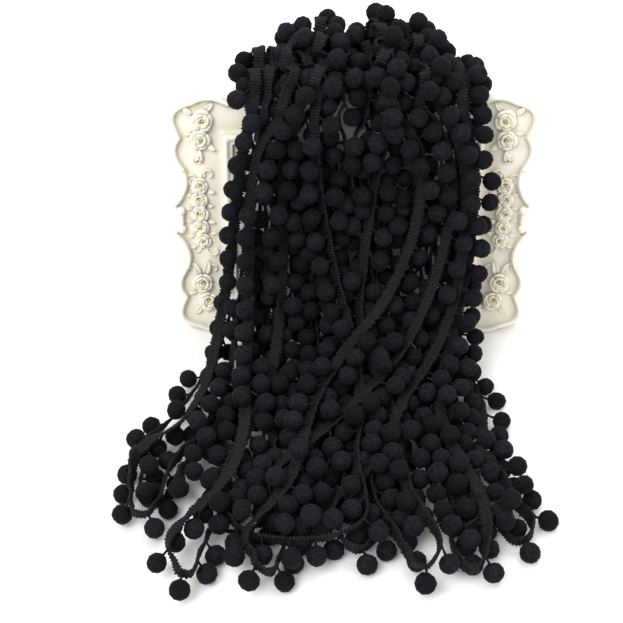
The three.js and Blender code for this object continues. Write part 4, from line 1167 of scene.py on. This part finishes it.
# How far round the petal's arch goes in radians, and how its sides are drawn in and lowered.
PETAL_ARCH, PETAL_DRAWN_IN, PETAL_LOWERED = 1.9, 0.10, 0.28
# The gilding of the outer whorl, how much more each inner one has, and how it fades up a petal.
WHORL_GILT, WHORL_GILT_STEP, GILT_FADE = 0.5, 0.25, 0.7
# Half sizes, height of the middle, and gilding of a rose's bud and of its base, and of a knob.
BUD = ((0.2, 0.2, 0.22), 0.34, 1.0)
ROSE_BASE = ((0.82, 0.82, 0.2), 0.0, 0.8)
KNOB = ((1.0, 1.0, 0.7), 0.0, 0.15)
# A leaf's half width at its ends and how much more at its middle, with the power that puts it there.
LEAF_TIP, LEAF_SWELL, LEAF_POWER = 0.02, 0.21, 0.75
# A leaf's height at its stalk, how it arches up, over what share of a half turn, and its cupped sides.
LEAF_FOOT, LEAF_ARCH, LEAF_TURN, LEAF_CUP, LEAF_CURVE = 0.05, 0.22, 0.8, 0.12, 0.04
LEAF_THICKNESS = 0.08
LEAF_GILT = 0.35
CURL_STEPS = 16
CURL_SIDES = 6
# A curl's radius at its start, how much more at its middle, and at its round end from a share on.
CURL_THIN, CURL_SWELL, CURL_END, CURL_END_FROM = 0.06, 0.07, 0.12, 0.85
CURL_HEIGHT = 0.12
# How far each step of a curl goes, and how it turns: at first, and how much more by its end.
CURL_STEP, CURL_TURN, CURL_WINDING = 0.155, 0.05, 0.52
CURL_GILT = 0.2


def petal(made, angle, radius, height, half_width, lean, gilt, level):
    """One petal: a grid bent around the rose's middle, cupped, with its lip rolled out."""
    for vert in bmesh.ops.create_grid(made, x_segments=4, y_segments=3, size=1)["verts"]:
        across, up = vert.co.x, (vert.co.y + 1) / 2
        turned = angle + across * math.radians(half_width)
        out = radius * (PETAL_FOOT + PETAL_SPREAD * up + lean * PETAL_ROLL * up * up)
        out *= 1 - PETAL_DRAWN_IN * across * across
        rise = height * math.sin(PETAL_ARCH * up) * (1 - PETAL_LOWERED * across * across)
        vert.co = (out * math.cos(turned), out * math.sin(turned), rise)
        vert[gilt] = level * (1 - up) ** GILT_FADE


def make_round(verts, gilt, half_sizes, middle, level):
    """Makes the points of a unit ball an ellipsoid, at a height and with a level of gilding."""
    for vert in verts:
        x, y, z = (half * value for half, value in zip(half_sizes, vert.co))
        vert.co = (x, y, middle + z)
        vert[gilt] = level


def gilded_pattern():
    """An empty bmesh with a layer for the gilding."""
    made = bmesh.new()
    return made, made.verts.layers.float.new("gilt")


def rose_pattern():
    """A rose of unit radius: whorls of petals, thickened into closed shapes, a bud and a base."""
    made, gilt = gilded_pattern()
    rng = np.random.default_rng(ROSE_SEED)
    for whorl, (count, turn, radius, height, half_width, lean) in enumerate(ROSE_PETALS):
        for index in range(count):
            bigger, taller, swung = PETAL_UNEVENNESS * rng.uniform(-1, 1, 3)
            angle = math.radians(turn + 360 * index / count) + 2 * swung
            reach, top = radius * (1 + bigger), height * (1 + taller)
            petal(made, angle, reach, top, half_width, lean, gilt, WHORL_GILT + WHORL_GILT_STEP * whorl)
    bmesh.ops.solidify(made, geom=made.faces[:], thickness=PETAL_THICKNESS)
    make_round(bmesh.ops.create_icosphere(made, subdivisions=1, radius=1)["verts"], gilt, *BUD)
    base = bmesh.ops.create_uvsphere(made, u_segments=12, v_segments=6, radius=1)["verts"]
    make_round(base, gilt, *ROSE_BASE)
    return made


def leaf_pattern():
    """A leaf of unit length that arches up from its stalk, with a groove along its middle."""
    made, gilt = gilded_pattern()
    for vert in bmesh.ops.create_grid(made, x_segments=4, y_segments=6, size=1)["verts"]:
        side, along = vert.co.x, (vert.co.y + 1) / 2
        swell = LEAF_SWELL * math.sin(math.pi * along**LEAF_POWER) if 0 < along < 1 else 0
        rise = LEAF_FOOT + LEAF_ARCH * math.sin(math.pi * along * LEAF_TURN)
        rise = rise + LEAF_CUP * abs(side) - LEAF_CURVE * side * side
        vert.co = (side * (LEAF_TIP + swell), along, rise)
        vert[gilt] = LEAF_GILT * (1 - abs(side))
    bmesh.ops.solidify(made, geom=made.faces[:], thickness=LEAF_THICKNESS)
    return made


def curl_pattern():
    """A curl of unit size: a thin rod that winds up on the field, thick in its middle."""
    made, gilt = gilded_pattern()
    rings = []
    place = np.array([0.0, 0.0])
    heading = 0.0
    for step in range(CURL_STEPS + 1):
        u = step / CURL_STEPS
        radius = CURL_THIN + CURL_SWELL * math.sin(math.pi * u) if u < CURL_END_FROM else CURL_END
        side = np.array([math.cos(heading), -math.sin(heading)])
        ring = []
        for k in range(CURL_SIDES):
            angle = 2 * math.pi * k / CURL_SIDES
            flat = place + side * radius * math.cos(angle)
            ring.append((*flat, CURL_HEIGHT + radius * (1 + math.sin(angle))))
        rings.append(ring)
        place = place + CURL_STEP * np.array([math.sin(heading), math.cos(heading)])
        heading += CURL_TURN + CURL_WINDING * u
    grow_rings(made, rings)
    for vert in made.verts:
        vert[gilt] = CURL_GILT
    return made


def knob_pattern():
    """The low round end of a scroll, of unit radius."""
    made, gilt = gilded_pattern()
    ball = bmesh.ops.create_uvsphere(made, u_segments=12, v_segments=8, radius=1)["verts"]
    make_round(ball, gilt, *KNOB)
    return made


def cast_on(made, pattern, across, rise, degrees, size, side, height=FIELD_HEIGHT):
    """Copies a pattern to a place on the moulding's face, turned, sized, and mirrored on the left."""
    copy = bpy.data.meshes.new("copy")
    pattern.to_mesh(copy)
    points = np.empty(len(copy.vertices) * 3)
    copy.vertices.foreach_get("co", points)
    points = points.reshape(-1, 3) * size
    angle = math.radians(degrees)
    x = points[:, 0] * math.cos(angle) + points[:, 1] * math.sin(angle)
    y = points[:, 1] * math.cos(angle) - points[:, 0] * math.sin(angle)
    placed = np.column_stack([side * (across + x), rise + y, height + points[:, 2]])
    copy.vertices.foreach_set("co", move_into_place(placed).ravel())
    made.from_mesh(copy)
    bpy.data.meshes.remove(copy)


def flowers_mesh(name):
    """All roses, leaves, curls and knobs of both sides."""
    made, _ = gilded_pattern()
    rose, leaf, curl, knob = rose_pattern(), leaf_pattern(), curl_pattern(), knob_pattern()
    for side in (-1, 1):
        for number, (across, rise, size) in enumerate(ROSES):
            turn = ROSE_TURN * number + ROSE_SIDE_TURN * side
            cast_on(made, rose, across, rise, turn, ROSE_SIZE * size, side)
        for across, rise, degrees, size in LEAVES:
            cast_on(made, leaf, across, rise, degrees, size, side)
        for across, rise, degrees, size, winds in CURLS:
            mirrored = curl.copy()
            bmesh.ops.scale(mirrored, vec=(winds, 1, 1), verts=mirrored.verts)
            cast_on(made, mirrored, across, rise, degrees, size, side)
            mirrored.free()
        for across, rise, radius, height in KNOBS:
            cast_on(made, knob, across, rise, 0, radius, side, height)
    for pattern in (rose, leaf, curl, knob):
        pattern.free()
    return finished_mesh(made, name)


# Finishes.

SHEEN_TINT = (0.75, 0.8, 0.95, 1)
# How many times finer the pile's pattern is: along its strands, across them, and across them again.
STRANDS = (1, 6, 6)
# The darkest and the lightest pompom, as shares of the pile's colour.
DARKEST_SHADE, LIGHTEST_SHADE = 0.5, 1.3
# How strong a tint is where a piece is marked for it, before the smudges are added.
TINT_STRENGTH = 0.45


def new_material(name):
    """A material's own parts: itself, its node tree and its shader."""
    material = bpy.data.materials.new(name)
    material.use_nodes = True
    return material, material.node_tree, material.node_tree.nodes["Principled BSDF"]


def connect(tree, node, inputs):
    """Links the sockets among the inputs to a node, and sets the others as its own values."""
    for key, value in inputs.items():
        if isinstance(value, bpy.types.NodeSocket):
            tree.links.new(value, node.inputs[key])
        else:
            node.inputs[key].default_value = value


def add_node(tree, kind, output, inputs, **fields):
    """Adds a node of a kind, sets its fields and then its inputs, and gives one of its outputs."""
    node = tree.nodes.new(f"ShaderNode{kind}")
    for field, value in fields.items():
        setattr(node, field, value)
    connect(tree, node, inputs)
    return node.outputs[output]


def add_math(tree, operation, *values, **fields):
    return add_node(tree, "Math", "Value", dict(enumerate(values)), operation=operation, **fields)


def add_attribute(tree, name, output="Fac"):
    return add_node(tree, "Attribute", output, {}, attribute_name=name)


def add_place(tree):
    return add_node(tree, "TexCoord", "Object", {})


def add_ramp(tree, amount, colour, *stops):
    """A ramp between tones of a colour. Each stop is a position and a share of the colour."""
    ramp = tree.nodes.new("ShaderNodeValToRGB")
    for element, (position, share) in zip(ramp.color_ramp.elements, stops):
        element.position = position
        element.color = (*[share * c for c in colour], 1)
    connect(tree, ramp, {"Fac": amount})
    return ramp.outputs["Color"]


def add_mix(tree, amount, colour, other):
    """Mixes a colour with another one that is the same all over."""
    inputs = {"Factor": amount, "A": colour, "B": (*other, 1)}
    return add_node(tree, "Mix", "Result", inputs, data_type="RGBA")


def add_bump(tree, height, strength, distance, **fields):
    inputs = {"Strength": strength, "Distance": distance, "Height": height}
    return add_node(tree, "Bump", "Normal", inputs, **fields)


def braid_material(settings):
    """Yarn: speckled with painted highlights where its loops catch the light, and darkened with painted
    shade in the grooves between the ribs.
    """
    material, tree, shader = new_material("black gimp braid")
    dark = settings.yarn_colour
    # Painted highlights: near each point of the pattern, where a loop of yarn would catch the light, the
    # colour is raised to 2.4 times the yarn's.
    loops = add_node(tree, "TexVoronoi", "Distance", {"Vector": add_place(tree), "Scale": 900})
    speckled_highlights = add_ramp(tree, loops, dark, (0.1, 2.4), (0.6, 0.35))
    connect(tree, shader, {
        "Roughness": 0.7,
        "Specular IOR Level": 0.15,
        "Sheen Weight": 0.012,
        "Sheen Roughness": 0.4,
        "Sheen Tint": SHEEN_TINT,
        # Painted shade: in the dips between the ribs the colour is mixed towards a far darker one.
        "Base Color": add_mix(tree, add_attribute(tree, "dip_shade"), speckled_highlights, [0.15 * c for c in dark]),
        "Normal": add_bump(tree, loops, 0.7, 0.0005, invert=True),
    })
    return material


def pompom_material(settings):
    """Cut pile: fine strands that lie side by side over each pompom, and a shade of its own."""
    material, tree, shader = new_material("black cut pile")
    pile = {0: add_attribute(tree, "pile", "Vector"), 1: STRANDS}
    drawn_out = add_node(tree, "VectorMath", "Vector", pile, operation="MULTIPLY")
    lines = {"Vector": drawn_out, "Scale": 0.7, "Detail": 3, "Roughness": 0.7}
    strands = add_node(tree, "TexNoise", "Fac", lines)
    fibres = add_node(tree, "TexNoise", "Fac", {"Vector": add_place(tree), "Scale": 650, "Detail": 2})
    relief = add_math(tree, "MULTIPLY", add_math(tree, "ADD", strands, fibres), 0.5)
    tones = {"Value": add_attribute(tree, "shade"), "To Min": DARKEST_SHADE, "To Max": LIGHTEST_SHADE}
    shaded = {
        0: add_ramp(tree, relief, settings.pile_colour, (0.38, 0.35), (0.63, 2.3)),
        "Scale": add_node(tree, "MapRange", "Result", tones),
    }
    connect(tree, shader, {
        "Roughness": 0.85,
        "Specular IOR Level": 0.1,
        "Sheen Weight": 0.02,
        "Sheen Roughness": 0.35,
        "Sheen Tint": SHEEN_TINT,
        "Base Color": add_node(tree, "VectorMath", "Vector", shaded, operation="SCALE"),
        "Normal": add_bump(tree, relief, 1.0, 0.0014),
    })
    return material


def resin_material(name, settings, attribute, tint):
    """Cream satin resin that turns towards a tint where an attribute of the piece is high: the roses'
    gilding, or the moulding's hollows, whose tint is partly a wash and partly painted shade.
    """
    material, tree, shader = new_material(name)
    mottle = add_node(tree, "TexNoise", "Fac", {"Vector": add_place(tree), "Scale": 40, "Detail": 4})
    smudge = add_node(tree, "TexNoise", "Fac", {"Vector": add_place(tree), "Scale": 260})
    cream = add_ramp(tree, mottle, settings.resin_colour, (0.3, 0.9), (0.62, 1))
    marked = add_attribute(tree, attribute)
    spread = add_math(tree, "MULTIPLY", marked, smudge)
    strength = add_math(tree, "MULTIPLY_ADD", marked, TINT_STRENGTH, spread, use_clamp=True)
    connect(tree, shader, {
        "Roughness": 0.36,
        "Base Color": add_mix(tree, strength, cream, tint),
        "Normal": add_bump(tree, mottle, 0.35, 0.0006),
    })
    return material


def plain_material(name, colour, roughness):
    """A smooth surface with a faint cloudy tone."""
    material, tree, shader = new_material(name)
    clouds = add_node(tree, "TexNoise", "Fac", {"Vector": add_place(tree), "Scale": 60})
    tone = add_ramp(tree, clouds, colour, (0.3, 0.92), (0.7, 1))
    connect(tree, shader, {"Roughness": roughness, "Base Color": tone})
    return material


def board_material(name, colour):
    """Backing board covered in dark paper with a fine pressed grain."""
    material, tree, shader = new_material(name)
    pressed = {"Vector": add_place(tree), "Scale": 620}
    grain = add_node(tree, "TexVoronoi", "Distance", pressed, feature="DISTANCE_TO_EDGE")
    wear = add_node(tree, "TexNoise", "Fac", {"Vector": add_place(tree), "Scale": 35, "Detail": 6})
    connect(tree, shader, {
        "Roughness": 0.62,
        "Base Color": add_ramp(tree, wear, colour, (0.3, 0.75), (0.75, 1.35)),
        "Normal": add_bump(tree, grain, 0.5, 0.0003),
    })
    return material


# The stage.

FLOOR_REACH = 4
LIGHT_AIM = (0, -0.06, 0.08)
# Name, place in metres, size in metres and power in watts.
LIGHTS = (
    ("key", (-0.5, -0.7, 1.1), 0.7, 14),
    ("fill", (0.9, -0.5, 0.7), 0.9, 3),
    ("top", (0.1, 0.5, 1.2), 0.8, 8),
)
# Place in mm, degrees by which the camera looks down, and focal length in pixels of the picture.
CAMERA_PLACE = (-26.4, -541.6, 502.9)
CAMERA_DOWN = 42
CAMERA_FOCUS = 1078
PICTURE_WIDTH = 623
SENSOR_WIDTH = 36


# Settings, operators and the panel.


class TrimSettings(bpy.types.PropertyGroup):
    """Sizes and colours of the trim."""

    rib_pitch: bpy.props.FloatProperty(
        name="Rib Pitch", description="Distance between the braid's ribs, in mm",
        default=1.9, min=0.8, max=4,
    )
    yarn_colour: bpy.props.FloatVectorProperty(
        name="Braid Colour", description="Colour of the braid's yarn", subtype="COLOR",
        default=(0.0064, 0.0067, 0.0086), min=0, max=1,
    )
    pile_colour: bpy.props.FloatVectorProperty(
        name="Pile Colour", description="Colour of the pompoms' cut pile", subtype="COLOR",
        default=(0.0039, 0.0041, 0.0056), min=0, max=1,
    )


class PictureFrameSettings(bpy.types.PropertyGroup):
    """Colours of the picture frame."""

    resin_colour: bpy.props.FloatVectorProperty(
        name="Resin Colour", description="Colour of the cast moulding", subtype="COLOR",
        default=(0.77, 0.74, 0.645), min=0, max=1,
    )
    # The hollows' tint: partly a wash brushed into them, partly painted shade.
    wash_and_shade_colour: bpy.props.FloatVectorProperty(
        name="Recess Colour", description="Colour of the moulding's hollows", subtype="COLOR",
        default=(0.60, 0.55, 0.43), min=0, max=1,
    )
    gilt_colour: bpy.props.FloatVectorProperty(
        name="Gilt Colour", description="Colour of the pale gilding on the roses", subtype="COLOR",
        default=(0.52, 0.44, 0.19), min=0, max=1,
    )


class TRIM_OT_braid(bpy.types.Operator):
    """Models the ribbed braid, one piece for the falls and one for each kind of loop"""

    bl_idname = "trim.braid"
    bl_label = "Braid"

    def execute(self, context):
        settings = context.scene.trim_settings
        material = braid_material(settings)
        for name, length, zone, node in PARTS:
            mesh = braid_mesh(f"{name}_braid", TRIM[length], zone, settings.rib_pitch)
            obj = new_object(f"{name}_braid", mesh, material)
            replace_nodes(node)
        return {"FINISHED"}


class TRIM_OT_pompoms(bpy.types.Operator):
    """Models the pompoms on their stems along one edge of the braid"""

    bl_idname = "trim.pompoms"
    bl_label = "Pompoms"

    def execute(self, context):
        settings = context.scene.trim_settings
        material = pompom_material(settings)
        for number, (name, length, zone, node) in enumerate(PARTS):
            mesh = pompom_mesh(f"{name}_pompoms", TRIM[length], zone, POMPOM_SEED + number)
            obj = new_object(f"{name}_pompoms", mesh, material)
            replace_nodes(node)
        return {"FINISHED"}


class TRIM_OT_moulding(bpy.types.Operator):
    """Models the frame's scalloped border with its hollow and bead"""

    bl_idname = "trim.moulding"
    bl_label = "Moulding"

    def execute(self, context):
        settings = context.scene.picture_frame_settings
        # The hollows get a tint that is partly a wash and partly painted shade.
        material = resin_material("cream resin", settings, "hollow", settings.wash_and_shade_colour)
        obj = new_object("moulding", moulding_mesh("moulding"), material)
        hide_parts("frame_moulding")
        return {"FINISHED"}


class TRIM_OT_flowers(bpy.types.Operator):
    """Casts the roses, leaves, curls and knobs on the moulding's sides"""

    bl_idname = "trim.flowers"
    bl_label = "Roses and Leaves"

    def execute(self, context):
        settings = context.scene.picture_frame_settings
        material = resin_material("gilded resin", settings, "gilt", settings.gilt_colour)
        new_object("roses_and_leaves", flowers_mesh("roses_and_leaves"), material)
        return {"FINISHED"}


class TRIM_OT_backing(bpy.types.Operator):
    """Gives the panel, the backboard and the strut their finishes"""

    bl_idname = "trim.backing"
    bl_label = "Panel and Backing"

    def execute(self, context):
        finishes = {
            "frame_panel": plain_material("pale panel", (0.50, 0.48, 0.43), 0.3),
            "frame_backboard": board_material("dark backing board", (0.050, 0.044, 0.040)),
            "frame_strut": board_material("dark strut board", (0.042, 0.036, 0.033)),
        }
        for node, material in finishes.items():
            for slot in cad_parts[node].material_slots:
                slot.material = material
        return {"FINISHED"}


class TRIM_OT_stage(bpy.types.Operator):
    """Lays the floor and sets the lights and the camera"""

    bl_idname = "trim.stage"
    bl_label = "Stage"

    def execute(self, context):
        scene = context.scene
        made = bmesh.new()
        bmesh.ops.create_grid(made, x_segments=1, y_segments=1, size=FLOOR_REACH)
        mesh = bpy.data.meshes.new("floor")
        made.to_mesh(mesh)
        made.free()
        floor = bpy.data.objects.new("floor", mesh)
        scene.collection.objects.link(floor)
        mesh.materials.append(plain_material("pale floor", (0.80, 0.79, 0.78), 0.6))
        world = bpy.data.worlds.new("studio")
        world.use_nodes = True
        sky = {"Color": (1, 1, 1, 1), "Strength": 1.0}
        connect(world.node_tree, world.node_tree.nodes["Background"], sky)
        scene.world = world
        scene.view_settings.view_transform = "Standard"
        for name, place, size, power in LIGHTS:
            light = bpy.data.lights.new(name, "AREA")
            light.size = size
            light.energy = power
            lamp = bpy.data.objects.new(name, light)
            lamp.location = place
            lamp.rotation_euler = (Vector(LIGHT_AIM) - Vector(place)).to_track_quat("-Z", "Y").to_euler()
            scene.collection.objects.link(lamp)
        camera = bpy.data.cameras.new("camera")
        camera.sensor_width = SENSOR_WIDTH
        camera.lens = SENSOR_WIDTH * CAMERA_FOCUS / PICTURE_WIDTH
        camera.clip_start = 0.01
        view = bpy.data.objects.new("camera", camera)
        view.location = Vector(CAMERA_PLACE) * MM
        view.rotation_euler = (math.radians(90 - CAMERA_DOWN), 0, 0)
        scene.collection.objects.link(view)
        scene.camera = view
        return {"FINISHED"}


class TRIM_PT_panel(bpy.types.Panel):
    """Lists the steps and the settings in the sidebar"""

    bl_idname = "TRIM_PT_panel"
    bl_label = "Pompom Trim"
    bl_space_type = "VIEW_3D"
    bl_region_type = "UI"
    bl_category = "Trim"

    def draw(self, context):
        for settings in (context.scene.trim_settings, context.scene.picture_frame_settings):
            for name in settings.__annotations__:
                self.layout.prop(settings, name)
        for step in STEPS:
            self.layout.operator(f"trim.{step}")


CLASSES = (
    TrimSettings,
    PictureFrameSettings,
    TRIM_OT_braid,
    TRIM_OT_pompoms,
    TRIM_OT_moulding,
    TRIM_OT_flowers,
    TRIM_OT_backing,
    TRIM_OT_stage,
    TRIM_PT_panel,
)


def register():
    for cls in CLASSES:
        bpy.utils.register_class(cls)
    bpy.types.Scene.trim_settings = bpy.props.PointerProperty(type=TrimSettings)
    bpy.types.Scene.picture_frame_settings = bpy.props.PointerProperty(type=PictureFrameSettings)


def unregister():
    del bpy.types.Scene.picture_frame_settings
    del bpy.types.Scene.trim_settings
    for cls in reversed(CLASSES):
        bpy.utils.unregister_class(cls)


def main():
    register()
    for step in STEPS:
        getattr(bpy.ops.trim, step)()


if __name__ == "__main__":
    main()
